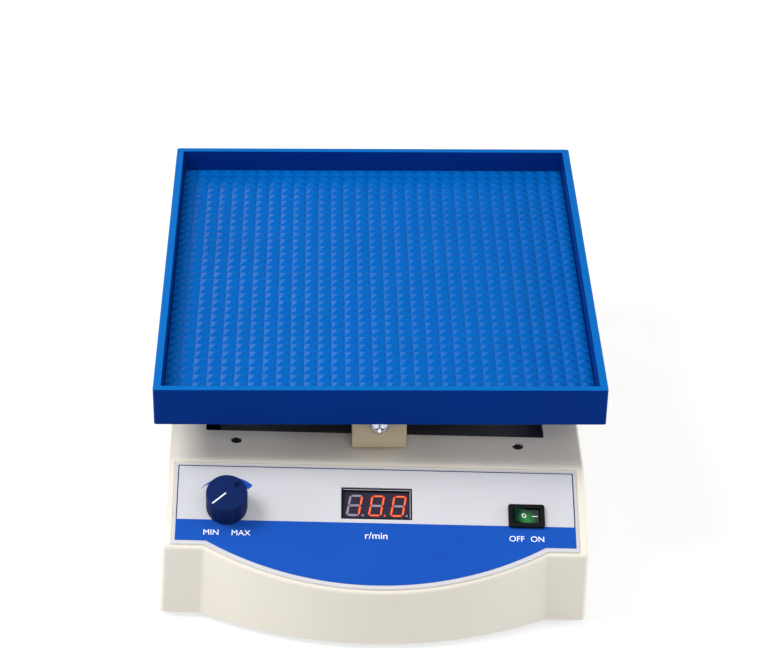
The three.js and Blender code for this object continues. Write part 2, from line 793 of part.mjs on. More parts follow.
const blockHalfWidth = 16;
const blockAir = 2; // between the blocks and the housing's top
const blockBottom = housingTop + blockAir;
const rodSeat = 12; // how deep the rod sits in each block
const rodHalfLength = blockFace - blockDepth + rodSeat;
const endScrewRadius = 2.5;
const endScrewLength = 20;

const rodEndHole = rod(endScrewRadius + gap, -rodHalfLength - overrun, endScrewLength - rodHalfLength);
const carrierRod = rod(rodRadius, -rodHalfLength, rodHalfLength, 16)
  .subtract(rodEndHole)
  .subtract(rodEndHole.mirror([0, 0, 1]))
  .rotate([90, 0, 0]);
addPiece(platform, 'carrier_rod', carrierRod.translate(0, 0, rodHeight), zincSteel);

const clampHalfWidth = 17;
const clampHalfLength = 9;
const clampY = 46;
const clampWall = 4;
const clampBottom = carrierTop + gap;
const clampTop = rodHeight + rodRadius + clampWall;
['front', 'rear'].forEach((name, i) => {
  const arch = roundedPoints([
    [-clampHalfWidth, clampBottom, 0],
    [clampHalfWidth, clampBottom, 0],
    [clampHalfWidth, clampBottom + clampWall, 0],
    [rodRadius + clampWall, clampBottom + clampWall, 0],
    [rodRadius + clampWall, clampTop, clampWall],
    [-rodRadius - clampWall, clampTop, clampWall],
    [-rodRadius - clampWall, clampBottom + clampWall, 0],
    [-clampHalfWidth, clampBottom + clampWall, 0],
  ]);
  const bore = rod(rodRadius + gap, -blockFace, blockFace).rotate([90, 0, 0]);
  const clamp = lengthSlab(arch, -clampHalfLength, clampHalfLength)
    .subtract(bore.translate(0, 0, rodHeight))
    .subtract(block(2 * (rodRadius + gap), trayDepth, 0, rodHeight));
  const y = i === 0 ? -clampY : clampY;
  addPiece(platform, `rod_clamp_${name}`, clamp.translate(0, y, 0), aluminium);
});

// Everything that is clamped to the rod leans with the tray, about the rod's centre line
const leaning = new THREE.Group();
leaning.position.set(0, 0, rodHeight);
leaning.rotation.y = trayLean;
platform.add(leaning);
const up = -rodHeight; // from the bench's height to a height above the rod

const trayScrewInset = 5.5; // tray screws, from the block's sides
const trayScrewX = blockHalfWidth - trayScrewInset;
const trayScrewRadius = 2;
const trayScrewHead = 3.6;
const trayScrewChamfer = 1;
const trayScrewRecess = 6;
const trayScrewBite = 5; // how far each tray screw reaches into the tray
const washerRadius = 6;
const washerThickness = 1;
const headRadius = 5;
const headHeight = 3;
const headRoundShares = [[1, 0.5], [0.8, 0.85], [0.4, 1]]; // of the head's radius and height
const headSlotLength = 6;
const headSlotWidth = 1.2;

['front', 'rear'].forEach((name, i) => {
  // drawn for the front end, where the block's outer face looks to -Y, and turned for the rear
  const turn = i === 0 ? 0 : 180;
  const face = -blockFace;
  let endBlock = block(2 * blockHalfWidth, blockDepth, blockBottom, blockTop, 0, face + blockDepth / 2)
    .subtract(rod(rodRadius + gap, -face - blockDepth - overrun, -face - blockDepth + rodSeat + gap)
      .rotate([90, 0, 0]).translate(0, 0, rodHeight))
    .subtract(rod(endScrewRadius + gap, 0, trayDepth).rotate([90, 0, 0]).translate(0, 0, rodHeight));
  const screwMidY = face + blockDepth / 2;
  for (const x of [-trayScrewX, trayScrewX]) {
    endBlock = endBlock
      .subtract(rod(trayScrewRadius + gap, 0, trayTop).translate(x, screwMidY, 0))
      .subtract(rod(trayScrewHead + gap, 0, blockBottom + trayScrewRecess).translate(x, screwMidY, 0));
    const low = blockBottom + trayScrewRecess + gap;
    const side = x < 0 ? 'left' : 'right';
    const trayScrew = turned([
      [0, low - headHeight],
      [trayScrewHead - trayScrewChamfer / 2, low - headHeight],
      [trayScrewHead, low - headHeight + trayScrewChamfer],
      [trayScrewHead, low - 2 * gap],
      [trayScrewRadius, low - 2 * gap],
      [trayScrewRadius, blockTop + trayScrewBite],
      [0, blockTop + trayScrewBite],
    ]);
    addPiece(leaning, `tray_screw_${name}_${side}`,
      trayScrew.translate(x, screwMidY, 0).rotate([0, 0, turn]).translate(0, 0, up), zincSteel);
  }
  addPiece(leaning, `end_block_${name}`,
    endBlock.rotate([0, 0, turn]).translate(0, 0, up), nylon);

  // the end screw and its washer, drawn standing on the face and laid over
  const washer = tube(washerRadius, endScrewRadius + gap, gap, gap + washerThickness);
  const seat = washerThickness + 2 * gap;
  const endScrew = turned([
    [0, -endScrewLength + rodSeat],
    [endScrewRadius, -endScrewLength + rodSeat],
    [endScrewRadius, seat],
    [headRadius, seat],
    ...headRoundShares.map(([across, rise]) => [headRadius * across, seat + headHeight * rise]),
    [0, seat + headHeight],
  ]).subtract(crossRecess(
    headSlotLength,
    headSlotWidth,
    seat + headHeight / 3,
    seat + headHeight + overrun,
  ));
  const toFace = (body) => body.rotate([90, 0, 0]).translate(0, face, 0).rotate([0, 0, turn]);
  addPiece(leaning, `end_washer_${name}`, toFace(washer), zincSteel);
  addPiece(leaning, `end_screw_${name}`, toFace(endScrew), chrome);
});

// The tray: a moulded box, open at the top, with ribs and screw pads under its floor

const trayHalfX = trayWidth / 2;
const trayHalfY = trayDepth / 2;
const trayCorner = 1.6;
const skirtWall = 2.8; // the skirt below the floor is thinner than the rim
const ribThickness = 2;
const ribPitch = 64;
const trayBottom = trayTop - trayHeight;
const padMargin = 3; // screw pads beyond the end blocks
const padHalfX = blockHalfWidth + padMargin;

let tray = slab(roundedPoints(rectangle(trayHalfX, trayHalfY, trayCorner)), trayBottom, trayTop)
  .subtract(slab(
    roundedPoints(rectangle(trayHalfX - trayWall, trayHalfY - trayWall, trayCorner / 2)),
    trayTop - cavityDepth,
    trayTop + overrun,
  ))
  .subtract(block(trayWidth - 2 * skirtWall, trayDepth - 2 * skirtWall, trayBottom - overrun, floorBottom));
const ribs = [];
const ribBottom = floorBottom - padDepth;
for (const side of [-1, 0, 1]) {
  const reach = side * ribPitch;
  ribs.push(block(trayWidth - 2 * skirtWall, ribThickness, ribBottom, floorBottom + sink, 0, reach));
  ribs.push(block(ribThickness, trayDepth - 2 * skirtWall, ribBottom, floorBottom + sink, reach));
}
const padY = blockFace - blockDepth / 2;
for (const y of [-padY, padY]) {
  ribs.push(block(2 * padHalfX, blockDepth + 2 * padMargin, ribBottom, floorBottom + sink, 0, y));
}
tray = tray.add(wasm.Manifold.union(ribs));
for (const y of [-padY, padY]) {
  for (const x of [-trayScrewX, trayScrewX]) {
    tray = tray.subtract(
      rod(trayScrewRadius + gap, 0, blockTop + trayScrewBite + gap).translate(x, y, 0),
    );
  }
}
addPiece(leaning, 'tray', tray.translate(0, 0, up), bluePlastic);

// The mat: a field of low square pyramids on a thin sheet

const matAcross = 31; // pyramids from side to side
const matAlong = 34;
const matPitchX = (trayWidth - 2 * trayWall - 2 * gap) / matAcross;
const matPitchY = (trayDepth - 2 * trayWall - 2 * gap) / matAlong;
const matSheet = 1.8;
const pyramidHeight = 1.7;

function pyramidMat() {
  const corners = [];
  const faces = [];
  const columns = matAcross + 1;
  const place = (i, j, z) => corners.push(
    (i - matAcross / 2) * matPitchX,
    (j - matAlong / 2) * matPitchY,
    z,
  ) / 3 - 1;
  const top = [];
  for (let j = 0; j <= matAlong; j += 1) {
    for (let i = 0; i <= matAcross; i += 1) top.push(place(i, j, matSheet));
  }
  const at = (i, j) => top[j * columns + i];
  for (let j = 0; j < matAlong; j += 1) {
    for (let i = 0; i < matAcross; i += 1) {
      const peak = place(i + 0.5, j + 0.5, matSheet + pyramidHeight);
      faces.push(at(i, j), at(i + 1, j), peak, at(i + 1, j), at(i + 1, j + 1), peak);
      faces.push(at(i + 1, j + 1), at(i, j + 1), peak, at(i, j + 1), at(i, j), peak);
    }
  }
  const edge = [];
  for (let i = 0; i < matAcross; i += 1) edge.push([i, 0]);
  for (let j = 0; j < matAlong; j += 1) edge.push([matAcross, j]);
  for (let i = matAcross; i > 0; i -= 1) edge.push([i, matAlong]);
  for (let j = matAlong; j > 0; j -= 1) edge.push([0, j]);
  const foot = edge.map(([i, j]) => place(i, j, 0));
  const middle = place(matAcross / 2, matAlong / 2, 0);
  edge.forEach(([i, j], k) => {
    const next = (k + 1) % edge.length;
    const [ni, nj] = edge[next];
    faces.push(foot[k], foot[next], at(ni, nj), foot[k], at(ni, nj), at(i, j));
    faces.push(foot[next], foot[k], middle);
  });
  const geometry = new THREE.BufferGeometry();
  geometry.setAttribute('position', new THREE.Float32BufferAttribute(corners, 3));
  geometry.setIndex(faces);
  return solid(geometry);
}
addPiece(leaning, 'tray_mat',
  pyramidMat().translate(0, 0, trayTop - cavityDepth + gap + up), bluePlastic);

// The front panel: label film, display, speed knob and power switch

const labelOutline = [];
const labelSteps = 14;
const labelRadius = (bowHalfChord ** 2 + labelBow ** 2) / (2 * labelBow);
const labelSpread = Math.asin(bowHalfChord / labelRadius);
const labelLow = labelTop - labelFlat;
for (let step = 0; step <= labelSteps; step += 1) {
  const angle = -Math.PI / 2 - labelSpread + (2 * labelSpread * step) / labelSteps;
  labelOutline.push(new THREE.Vector2(
    labelRadius * Math.cos(angle),
    labelLow - labelBow + labelRadius + labelRadius * Math.sin(angle),
  ));
}
labelOutline.push(
  new THREE.Vector2(labelHalfWidth, labelLow),
  new THREE.Vector2(labelHalfWidth, labelTop),
  new THREE.Vector2(-labelHalfWidth, labelTop),
  new THREE.Vector2(-labelHalfWidth, labelLow),
);
const filmTop = gap / 2 + filmThickness;
const film = slab(labelOutline, gap / 2, filmTop)
  .subtract(windowCutout(-overrun, overrun))
  .subtract(switchCutout(-overrun, overrun))
  .subtract(rod(bushingRadius + gap, -overrun, overrun).translate(knobX, knobY, 0));
addPiece(panel, 'front_label', film, labelFilm);

const lensThickness = 2;
const lens = slab(
  roundedPoints(rectangle(windowHalfX - gap, windowHalfY - gap, windowCorner)),
  filmTop - lensThickness,
  filmTop,
);
addPiece(panel, 'display_window', lens.translate(0, displayY, 0), clearAcrylic);

const digitPitch = 12.7;
const digitCount = 3;
const moduleHalfX = (digitPitch * digitCount) / 2 - gap;
const moduleHalfY = 9.5;
const moduleDepth = 8;
const moduleAir = 2.6; // between the window and the digits
const moduleTop = filmTop - lensThickness - moduleAir;
const moduleBottom = moduleTop - moduleDepth;
let digits = block(2 * moduleHalfX, 2 * moduleHalfY, moduleBottom, moduleTop);
for (let i = 1; i < digitCount; i += 1) {
  const seamX = (i - digitCount / 2) * digitPitch;
  const seam = block(gap, 2 * moduleHalfY + overrun, moduleTop - gap, moduleTop + overrun, seamX);
  digits = digits.subtract(seam);
}
addPiece(panel, 'digit_display', digits.translate(0, displayY, 0), blackPlastic);

const boardThickness = 1.6;
const boardHalfX = 32;
const boardHalfY = 18;
const boardTop = moduleBottom - gap;
const postHalf = 3;
let displayBoard = block(2 * boardHalfX, 2 * boardHalfY, boardTop - boardThickness, boardTop);
for (const x of [-boardHalfX + postHalf, boardHalfX - postHalf]) {
  for (const y of [-boardHalfY + postHalf, boardHalfY - postHalf]) {
    displayBoard = displayBoard.add(
      rod(postHalf, boardTop - sink, -wall - gap).translate(x, y, 0),
    );
  }
}
addPiece(panel, 'display_board', displayBoard.translate(0, displayY, 0), circuitBoard);

// The speed knob turns a potentiometer whose threaded bushing stands in the panel

const potRadius = 8.5;
const potDepth = 10;
const potTop = -wall - gap;
const bushingRise = 5; // threads above the label
const bushingTop = filmTop + bushingRise;
const potentiometer = turned([
  [0, potTop - potDepth],
  [potRadius, potTop - potDepth],
  [potRadius, potTop],
  [bushingRadius, potTop],
  [bushingRadius, bushingTop],
  [0, bushingTop],
]).subtract(rod(knobShaftRadius + gap, potTop - potDepth / 2, bushingTop + overrun));
addPiece(panel, 'potentiometer', potentiometer.translate(knobX, knobY, 0), zincSteel);

const nutRadius = 7;
const nutThickness = 2;
const nut = rod(nutRadius, filmTop + gap, filmTop + gap + nutThickness, 6)
  .subtract(rod(bushingRadius + gap, filmTop, filmTop + nutThickness + overrun));
addPiece(panel, 'potentiometer_nut', nut.translate(knobX, knobY, 0), zincSteel);

const knobRadius = 11.9;
const knobHeight = 16.2;
const knobLift = 0.8; // air between the knob and the label
const knobBottom = filmTop + knobLift;
const knobTop = knobBottom + knobHeight;
const knobFlutes = 20;
const fluteDepth = 0.7;
const knobChamfer = 1.2;
const shaftCap = 3; // of the knob over its shaft
const shaftTop = knobTop - shaftCap;
const pointerAngle = THREE.MathUtils.degToRad(218);
const dimpleAngle = THREE.MathUtils.degToRad(38);

function flutedOutline(radius) {
  const points = [];
  const steps = 3;
  for (let i = 0; i < knobFlutes * steps; i += 1) {
    const angle = (2 * Math.PI * i) / (knobFlutes * steps);
    const dip = i % steps === 0 ? fluteDepth : 0;
    points.push(new THREE.Vector2(
      (radius - dip) * Math.cos(angle),
      (radius - dip) * Math.sin(angle),
    ));
  }
  return points;
}

const pointerLength = 8.4;
const pointerWidth = 0.9;
const pointerDepth = 0.6;
const pointerPlace = 5.9; // middle of the pointer's groove, from the knob's axis
const dimplePlace = 7.7;
const dimpleRadius = 1.75;
const dimpleDepth = 1.2;
const nutRoom = 1; // air round the nut inside the knob
const knob = slab(flutedOutline(knobRadius), knobBottom, knobTop - knobChamfer)
  .add(turned([
    [0, knobTop - knobChamfer - sink],
    [knobRadius - fluteDepth, knobTop - knobChamfer - sink],
    [knobRadius - fluteDepth, knobTop - knobChamfer],
    [knobRadius - fluteDepth - knobChamfer, knobTop],
    [0, knobTop],
  ], 2 * knobFlutes))
  .subtract(rod(nutRadius + nutRoom, knobBottom - overrun, bushingTop + gap))
  .subtract(rod(knobShaftRadius + gap, knobBottom, shaftTop + gap))
  .subtract(block(pointerLength, pointerWidth, knobTop - pointerDepth, knobTop + overrun)
    .translate(pointerPlace, 0, 0)
    .rotate([0, 0, THREE.MathUtils.radToDeg(pointerAngle)]))
  .subtract(rod(dimpleRadius, knobTop - dimpleDepth, knobTop + overrun)
    .translate(dimplePlace * Math.cos(dimpleAngle), dimplePlace * Math.sin(dimpleAngle), 0));
addPiece(panel, 'speed_knob', knob.translate(knobX, knobY, 0), navyPlastic);
const shaft = rod(knobShaftRadius, potTop - potDepth / 2 + gap, shaftTop);
addPiece(panel, 'knob_shaft', shaft.translate(knobX, knobY, 0), zincSteel);

// The power switch: a rocker that tips about an axis up the panel's slope

const bezelHeight = 1.8;
const bezelCorner = 1.2;
const bezelBottom = filmTop + gap;
const bezelTop = bezelBottom + bezelHeight;
const switchBodyDepth = 17;
const switchEndWall = 1.7; // of the switch's body, beside and across its rocker
const switchSideWall = 1.5;
const rockerRadius = switchHalfX - switchLip - gap - switchEndWall; // its ends turn on this circle
const rockerHalfWidth = switchHalfY - switchLip - gap - switchSideWall;
const pivotDrop = 2.4; // rocker's axis below the bezel's face
const rockerPivot = bezelTop - pivotDrop;
const rockerTip = THREE.MathUtils.degToRad(10);
const rockerThrow = THREE.MathUtils.degToRad(10); // half of the way from ON to OFF

const rockerWell = rod(rockerRadius + gap, -rockerHalfWidth - gap, rockerHalfWidth + gap, 28)
  .rotate([90, 0, 0])
  .translate(0, 0, rockerPivot);
const switchBody = slab(
  roundedPoints(rectangle(switchHalfX, switchHalfY, bezelCorner)),
  bezelBottom,
  bezelTop,
)
  .add(block(
    2 * (switchHalfX - switchLip - gap),
    2 * (switchHalfY - switchLip - gap),
    -switchBodyDepth,
    bezelBottom + sink,
  ))
  .subtract(rockerWell)
  .subtract(block(
    2 * (rockerRadius + gap),
    2 * (rockerHalfWidth + gap),
    rockerPivot,
    bezelTop + overrun,
  ));
addPiece(panel, 'switch_body', switchBody.translate(switchX, switchY, 0), blackPlastic);

const rockerOutline = [];
const rockerSteps = 18;
for (let step = 0; step <= rockerSteps; step += 1) {
  const start = Math.PI - 2 * rockerTip;
  const angle = start + ((Math.PI + 4 * rockerTip) * step) / rockerSteps;
  rockerOutline.push(new THREE.Vector2(
    rockerRadius * Math.cos(angle),
    rockerRadius * Math.sin(angle),
  ));
}
rockerOutline.push(new THREE.Vector2(0, rockerRadius * Math.sin(rockerTip)));
const rocker = lengthSlab(rockerOutline, -rockerHalfWidth, rockerHalfWidth)
  .rotate([0, THREE.MathUtils.radToDeg(rockerThrow), 0])
  .translate(switchX, switchY, rockerPivot);
addPiece(panel, 'switch_rocker', rocker, litGreen);

// The power board on the bottom cover and the mains inlet in the rear wall

const supplySetback = 47.8; // middle of the power board, behind the flat parts of the front wall
const supplyX = 20;
const supplyY = kneeY + supplySetback;
const supplyHalfX = 60;
const supplyHalfY = 26;
const supplyLift = 6;
const transformerHalfX = 20;
const transformerHalfY = 17;
const transformerHeight = 18;
const capacitorRadius = 6;
const capacitorHeight = 18;
const supplyTop = coverTop + supplyLift + boardThickness;
let supply = block(2 * supplyHalfX, 2 * supplyHalfY, coverTop + supplyLift, supplyTop)
  .add(block(
    2 * transformerHalfX,
    2 * transformerHalfY,
    supplyTop - sink,
    supplyTop + transformerHeight,
  ))
  .add(rod(capacitorRadius, supplyTop - sink, supplyTop + capacitorHeight)
    .translate(-supplyHalfX / 2 - capacitorRadius, 0, 0));
for (const x of [-supplyHalfX + postHalf, supplyHalfX - postHalf]) {
  for (const y of [-supplyHalfY + postHalf, supplyHalfY - postHalf]) {
    supply = supply.add(rod(postHalf, coverTop + gap, supplyTop - sink).translate(x, y, 0));
  }
}
addPiece(shaker, 'power_board', supply.translate(supplyX, supplyY, 0), circuitBoard);

const inletFlange = 3;
const inletLip = 3;
const inletBody = 22;
const socketHalfX = 10;
const socketHalfZ = 6.5;
const socketDepth = 17;
const pinLength = 12;
const pinPitch = 7;
const pinWidth = 2;
const pinHeight = 4;
let inlet = slab(
  roundedPoints(rectangle(inletHalfX + inletLip, inletHalfZ + inletLip, inletLip)),
  gap,
  inletFlange,
)
  .add(slab(
    roundedPoints(rectangle(inletHalfX - gap, inletHalfZ - gap, inletCorner)),
    -inletBody,
    sink,
  ))
  .subtract(slab(
    roundedPoints(rectangle(socketHalfX, socketHalfZ, inletCorner)),
    inletFlange - socketDepth,
    inletFlange + overrun,
  ));
const pinLow = inletFlange - socketDepth - sink;
[[-pinPitch, -1], [0, 1], [pinPitch, -1]].forEach(([x, rise]) => {
  inlet = inlet.add(block(
    pinWidth,
    pinHeight,
    pinLow,
    pinLow + pinLength,
    x,
    (rise * pinHeight) / 2,
  ));
});
addPiece(shaker, 'mains_inlet',
  inlet.rotate([-90, 0, 0]).translate(inletX, topHalfLength, inletZ), blackPlastic);

// The finished part stands with its origin midway under everything, at bench height
const extent = new THREE.Box3().setFromObject(shaker);
shaker.position.set(
  -(extent.min.x + extent.max.x) / 2,
  -(extent.min.y + extent.max.y) / 2,
  -extent.min.z,
);

export default shaker;
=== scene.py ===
# A bench-top orbital shaker with a digital display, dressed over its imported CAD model. Metres, +Z up,
# the control panel towards -Y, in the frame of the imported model.
import json
import math

import bpy
from mathutils import Matrix, Vector

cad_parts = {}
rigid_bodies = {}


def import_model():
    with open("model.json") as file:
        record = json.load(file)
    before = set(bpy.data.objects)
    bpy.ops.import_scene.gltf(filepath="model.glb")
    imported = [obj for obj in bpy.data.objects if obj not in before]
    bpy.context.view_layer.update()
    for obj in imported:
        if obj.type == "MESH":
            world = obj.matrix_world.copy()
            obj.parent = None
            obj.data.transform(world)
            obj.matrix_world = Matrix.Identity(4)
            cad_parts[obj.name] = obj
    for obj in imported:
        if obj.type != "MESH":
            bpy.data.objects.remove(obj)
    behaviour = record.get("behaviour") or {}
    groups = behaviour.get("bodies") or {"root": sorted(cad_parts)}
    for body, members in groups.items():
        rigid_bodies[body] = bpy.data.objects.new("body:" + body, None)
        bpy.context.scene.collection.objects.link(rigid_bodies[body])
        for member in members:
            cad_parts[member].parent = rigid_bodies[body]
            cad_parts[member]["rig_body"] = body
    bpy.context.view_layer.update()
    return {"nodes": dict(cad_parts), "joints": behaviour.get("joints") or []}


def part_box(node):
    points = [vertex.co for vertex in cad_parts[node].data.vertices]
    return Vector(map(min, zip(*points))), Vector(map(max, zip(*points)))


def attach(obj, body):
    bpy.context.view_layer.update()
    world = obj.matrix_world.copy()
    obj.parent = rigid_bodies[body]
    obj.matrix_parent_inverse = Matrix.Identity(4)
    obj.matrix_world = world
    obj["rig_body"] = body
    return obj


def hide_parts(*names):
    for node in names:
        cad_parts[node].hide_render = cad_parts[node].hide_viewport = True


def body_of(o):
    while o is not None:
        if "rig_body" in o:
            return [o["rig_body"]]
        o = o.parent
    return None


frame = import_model()
nodes = frame["nodes"]
MM = 0.001


# Camera
# The photograph looks down on the machine from the front, a little to its left, through a long lens.
# Its place was fitted to the tray's corners, the label's corners, the screws and the housing's edges.
photo_width = 761
focal_length_px = 2452.95
sensor_width = 36.0
camera_place = Vector((-55.68, -1257.26, 927.57)) * MM
camera_down = math.radians(33.253)
camera_aside = math.radians(-2.653)
camera_roll = math.radians(2.910)

camera_data = bpy.data.cameras.new("photograph")
camera_data.sensor_width = sensor_width
camera_data.lens = focal_length_px / photo_width * sensor_width
camera_data.clip_start = 10 * MM
camera_data.clip_end = 20
camera = bpy.data.objects.new("photograph", camera_data)
bpy.context.scene.collection.objects.link(camera)
forward = Vector((
    -math.sin(camera_aside) * math.cos(camera_down),
    math.cos(camera_aside) * math.cos(camera_down),
    -math.sin(camera_down),
))
level_right = Vector((math.cos(camera_aside), math.sin(camera_aside), 0))
level_up = level_right.cross(forward)
right = math.cos(camera_roll) * level_right + math.sin(camera_roll) * level_up
up = right.cross(forward)
camera_turn = Matrix((right, up, -forward)).transposed().to_4x4()
camera.matrix_world = Matrix.Translation(camera_place) @ camera_turn
bpy.context.scene.camera = camera


# Studio
# A plain white light table under soft light: a softbox high on the left, a larger one overhead, and
# weaker ones in front, behind and on both sides. The table's opal face glows a little, which keeps its
# shadows faint.
def linear(hex_colour):
    """An sRGB hex colour as linear red, green, blue and alpha."""
    channels = [int(hex_colour[i:i + 2], 16) / 255 for i in (1, 3, 5)]
    return [c / 12.92 if c <= 0.04045 else ((c + 0.055) / 1.055) ** 2.4 for c in channels] + [1.0]


def new_material(name):
    """An empty node material with this name."""
    made = bpy.data.materials.new(name)
    made.use_nodes = True
    made.node_tree.nodes.clear()
    return made


def add(made, kind, values=(), links=(), **settings):
    """Adds one node: settings are its own, values and links go to its inputs by name or number."""
    node = made.node_tree.nodes.new(kind)
    for name, value in settings.items():
        setattr(node, name, value)
    for socket, value in dict(values).items():
        node.inputs[socket].default_value = value
    for socket, source in dict(links).items():
        made.node_tree.links.new(source, node.inputs[socket])
    return node


floor_size = 12.0
floor_drop = 0.1 * MM
bpy.ops.object.select_all(action="DESELECT")
bpy.ops.mesh.primitive_plane_add(size=floor_size, location=(0, 0, -floor_drop))
floor = bpy.context.object
floor.name = "floor"
opal = new_material("opal acrylic, lit from below")
opal_shader = add(
    opal, "ShaderNodeBsdfPrincipled",
    {
        "Base Color": linear("#949494"), "Roughness": 0.9, "Specular IOR Level": 0.1,
        "Emission Color": linear("#ffffff"), "Emission Strength": 0.68,
    },
)
add(opal, "ShaderNodeOutputMaterial", links={"Surface": opal_shader.outputs[0]})
floor.data.materials.append(opal)

# Each softbox has its name, place, width and height in metres, and power in watts
softboxes = (
    ("key", (-1.15, -0.3, 1.6), (0.8, 0.8), 27.0),
    ("overhead", (0.3, -0.1, 2.0), (1.8, 1.4), 12.0),
    ("front", (0.2, -1.45, 1.25), (1.2, 0.6), 10.0),
    ("rear", (-1.0, 1.6, 1.1), (0.8, 0.6), 10.0),
    ("left", (-1.7, -0.1, 0.55), (1.0, 0.5), 13.0),
    ("right", (1.7, 0.0, 0.55), (1.0, 0.5), 18.0),
)
aim = Vector((0, 0, 0.08))
for name, place, size, power in softboxes:
    lamp = bpy.data.lights.new("softbox_" + name, "AREA")
    lamp.shape = "RECTANGLE"
    lamp.size, lamp.size_y = size
    lamp.energy = power
    box = bpy.data.objects.new("softbox_" + name, lamp)
    bpy.context.scene.collection.objects.link(box)
    box.location = place
    box.rotation_euler = (Vector(place) - aim).to_track_quat("Z", "Y").to_euler()

world = bpy.data.worlds.new("white studio")
world.use_nodes = True
world.node_tree.nodes["Background"].inputs["Color"].default_value = linear("#ffffff")
world.node_tree.nodes["Background"].inputs["Strength"].default_value = 0.24
bpy.context.scene.world = world
bpy.context.scene.view_settings.view_transform = "Standard"


# Housing
# One injection-moulded shell of cream ABS: flat top with a large opening, sloped panel, and a front wall
# that bows out in the middle. It stands on the feet and everything else is fixed inside it. The moulded
# skin has a fine satin texture and soft outer edges.
def textured(
    name, base, shade, roughness, grain, depth, stretch=(1, 1, 1), patch=60 * MM, **shader_values
):
    """A material whose colour and gloss drift slowly between two shades, under a fine relief.

    The grain is the relief's size; a stretch of 1 keeps it along an axis, less draws it out. Real grains
    of 0.1 mm and less are too fine to show, so they are drawn three to five times as coarse.
    """
    made = new_material(name)
    place = add(made, "ShaderNodeTexCoord")
    drift = add(
        made, "ShaderNodeTexNoise", {"Scale": 1 / patch, "Detail": 3, "Roughness": 0.6},
        {"Vector": place.outputs["Object"]},
    )
    tint = add(
        made, "ShaderNodeMix", {6: linear(base), 7: linear(shade)},
        {0: drift.outputs["Fac"]}, data_type="RGBA",
    )
    drawn = add(made, "ShaderNodeMapping", {"Scale": stretch}, {"Vector": place.outputs["Object"]})
    skin = add(
        made, "ShaderNodeTexNoise", {"Scale": 1 / grain, "Detail": 2, "Roughness": 0.5},
        {"Vector": drawn.outputs["Vector"]},
    )
    relief = add(
        made, "ShaderNodeBump", {"Strength": 0.6, "Distance": depth}, {"Height": skin.outputs["Fac"]},
    )
    sheen = add(
        made, "ShaderNodeMapRange", {"To Min": roughness * 0.85, "To Max": roughness * 1.15},
        {"Value": drift.outputs["Fac"]},
    )
    shader = add(
        made, "ShaderNodeBsdfPrincipled", shader_values,
        {
            "Base Color": tint.outputs[2],
            "Roughness": sheen.outputs["Result"],
            "Normal": relief.outputs["Normal"],
        },
    )
    shader.name = "shader"
    add(made, "ShaderNodeOutputMaterial", links={"Surface": shader.outputs[0]})
    return made


def only(*pieces):
    """Selects these objects and nothing else, the last one active."""
    bpy.ops.object.select_all(action="DESELECT")
    for piece in pieces:
        piece.select_set(True)
    bpy.context.view_layer.objects.active = pieces[-1]


def settled(name):
    """Names the primitive that was just added and puts its place and size into its mesh."""
    piece = bpy.context.object
    piece.name = piece.data.name = name
    bpy.ops.object.transform_apply(location=True, rotation=True, scale=True)
    return piece


def cube(name, low, high):
    """A block between two corners."""
    low, high = Vector(low), Vector(high)
    bpy.ops.object.select_all(action="DESELECT")
    bpy.ops.mesh.primitive_cube_add(size=1, location=(low + high) / 2, scale=high - low)
    return settled(name)


def cylinder(name, radius, low, high, centre=(0, 0), sides=64):
    """An upright cylinder about a centre in plan."""
    bpy.ops.object.select_all(action="DESELECT")
    bpy.ops.mesh.primitive_cylinder_add(
        radius=radius, depth=high - low, vertices=sides, location=(*centre, (low + high) / 2),
    )
    return settled(name)


def pick(piece, test, kind="FACE"):
    """Enters edit mode with just those faces, edges or vertices selected that pass the test.

    A face is tested by its centre and normal, an edge by its two ends, a vertex by its place.
    """
    only(piece)
    bpy.ops.object.mode_set(mode="EDIT")
    bpy.ops.mesh.select_mode(type=kind)
    bpy.ops.mesh.select_all(action="DESELECT")
    bpy.ops.object.mode_set(mode="OBJECT")
    mesh = piece.data
    if kind == "FACE":
        for face in mesh.polygons:
            face.select = bool(test(face.center, face.normal))
    elif kind == "EDGE":
        for edge in mesh.edges:
            edge.select = bool(test(*(mesh.vertices[i].co for i in edge.vertices)))
    else:
        for vertex in mesh.vertices:
            vertex.select = bool(test(vertex.co))
    bpy.ops.object.mode_set(mode="EDIT")


def done():
    """Leaves edit mode."""
    bpy.ops.object.mode_set(mode="OBJECT")


def round_edges(piece, radius, segments, test):
    """Rounds the edges that pass the test."""
    pick(piece, test, "EDGE")
    bpy.ops.mesh.bevel(offset=radius, segments=segments, affect="EDGES", clamp_overlap=False)
    done()


def bisect(piece, point, normal, clear=True):
    """Scores a line where a plane crosses the piece, and clears away what lies on the normal's side."""
    only(piece)
    bpy.ops.object.mode_set(mode="EDIT")
    bpy.ops.mesh.select_all(action="SELECT")
    bpy.ops.mesh.bisect(plane_co=point, plane_no=normal, use_fill=clear, clear_outer=clear)
    done()


def apply(piece, kind, **settings):
    """Adds a modifier with its settings and applies it."""
    modifier = piece.modifiers.new(kind.lower(), kind)
    for name, value in settings.items():
        setattr(modifier, name, value)
    only(piece)
    bpy.ops.object.modifier_apply(modifier=modifier.name)


def combine(piece, tool, operation="DIFFERENCE"):
    """Cuts the piece with a tool, or joins the two, and throws the tool away."""
    apply(piece, "BOOLEAN", operation=operation, object=tool, solver="EXACT")
    bpy.data.objects.remove(tool)


def soften(piece, width, segments=3, angle=40):
    """Rounds every edge that turns by more than the angle."""
    apply(
        piece, "BEVEL", width=width, segments=segments,
        limit_method="ANGLE", angle_limit=math.radians(angle),
    )


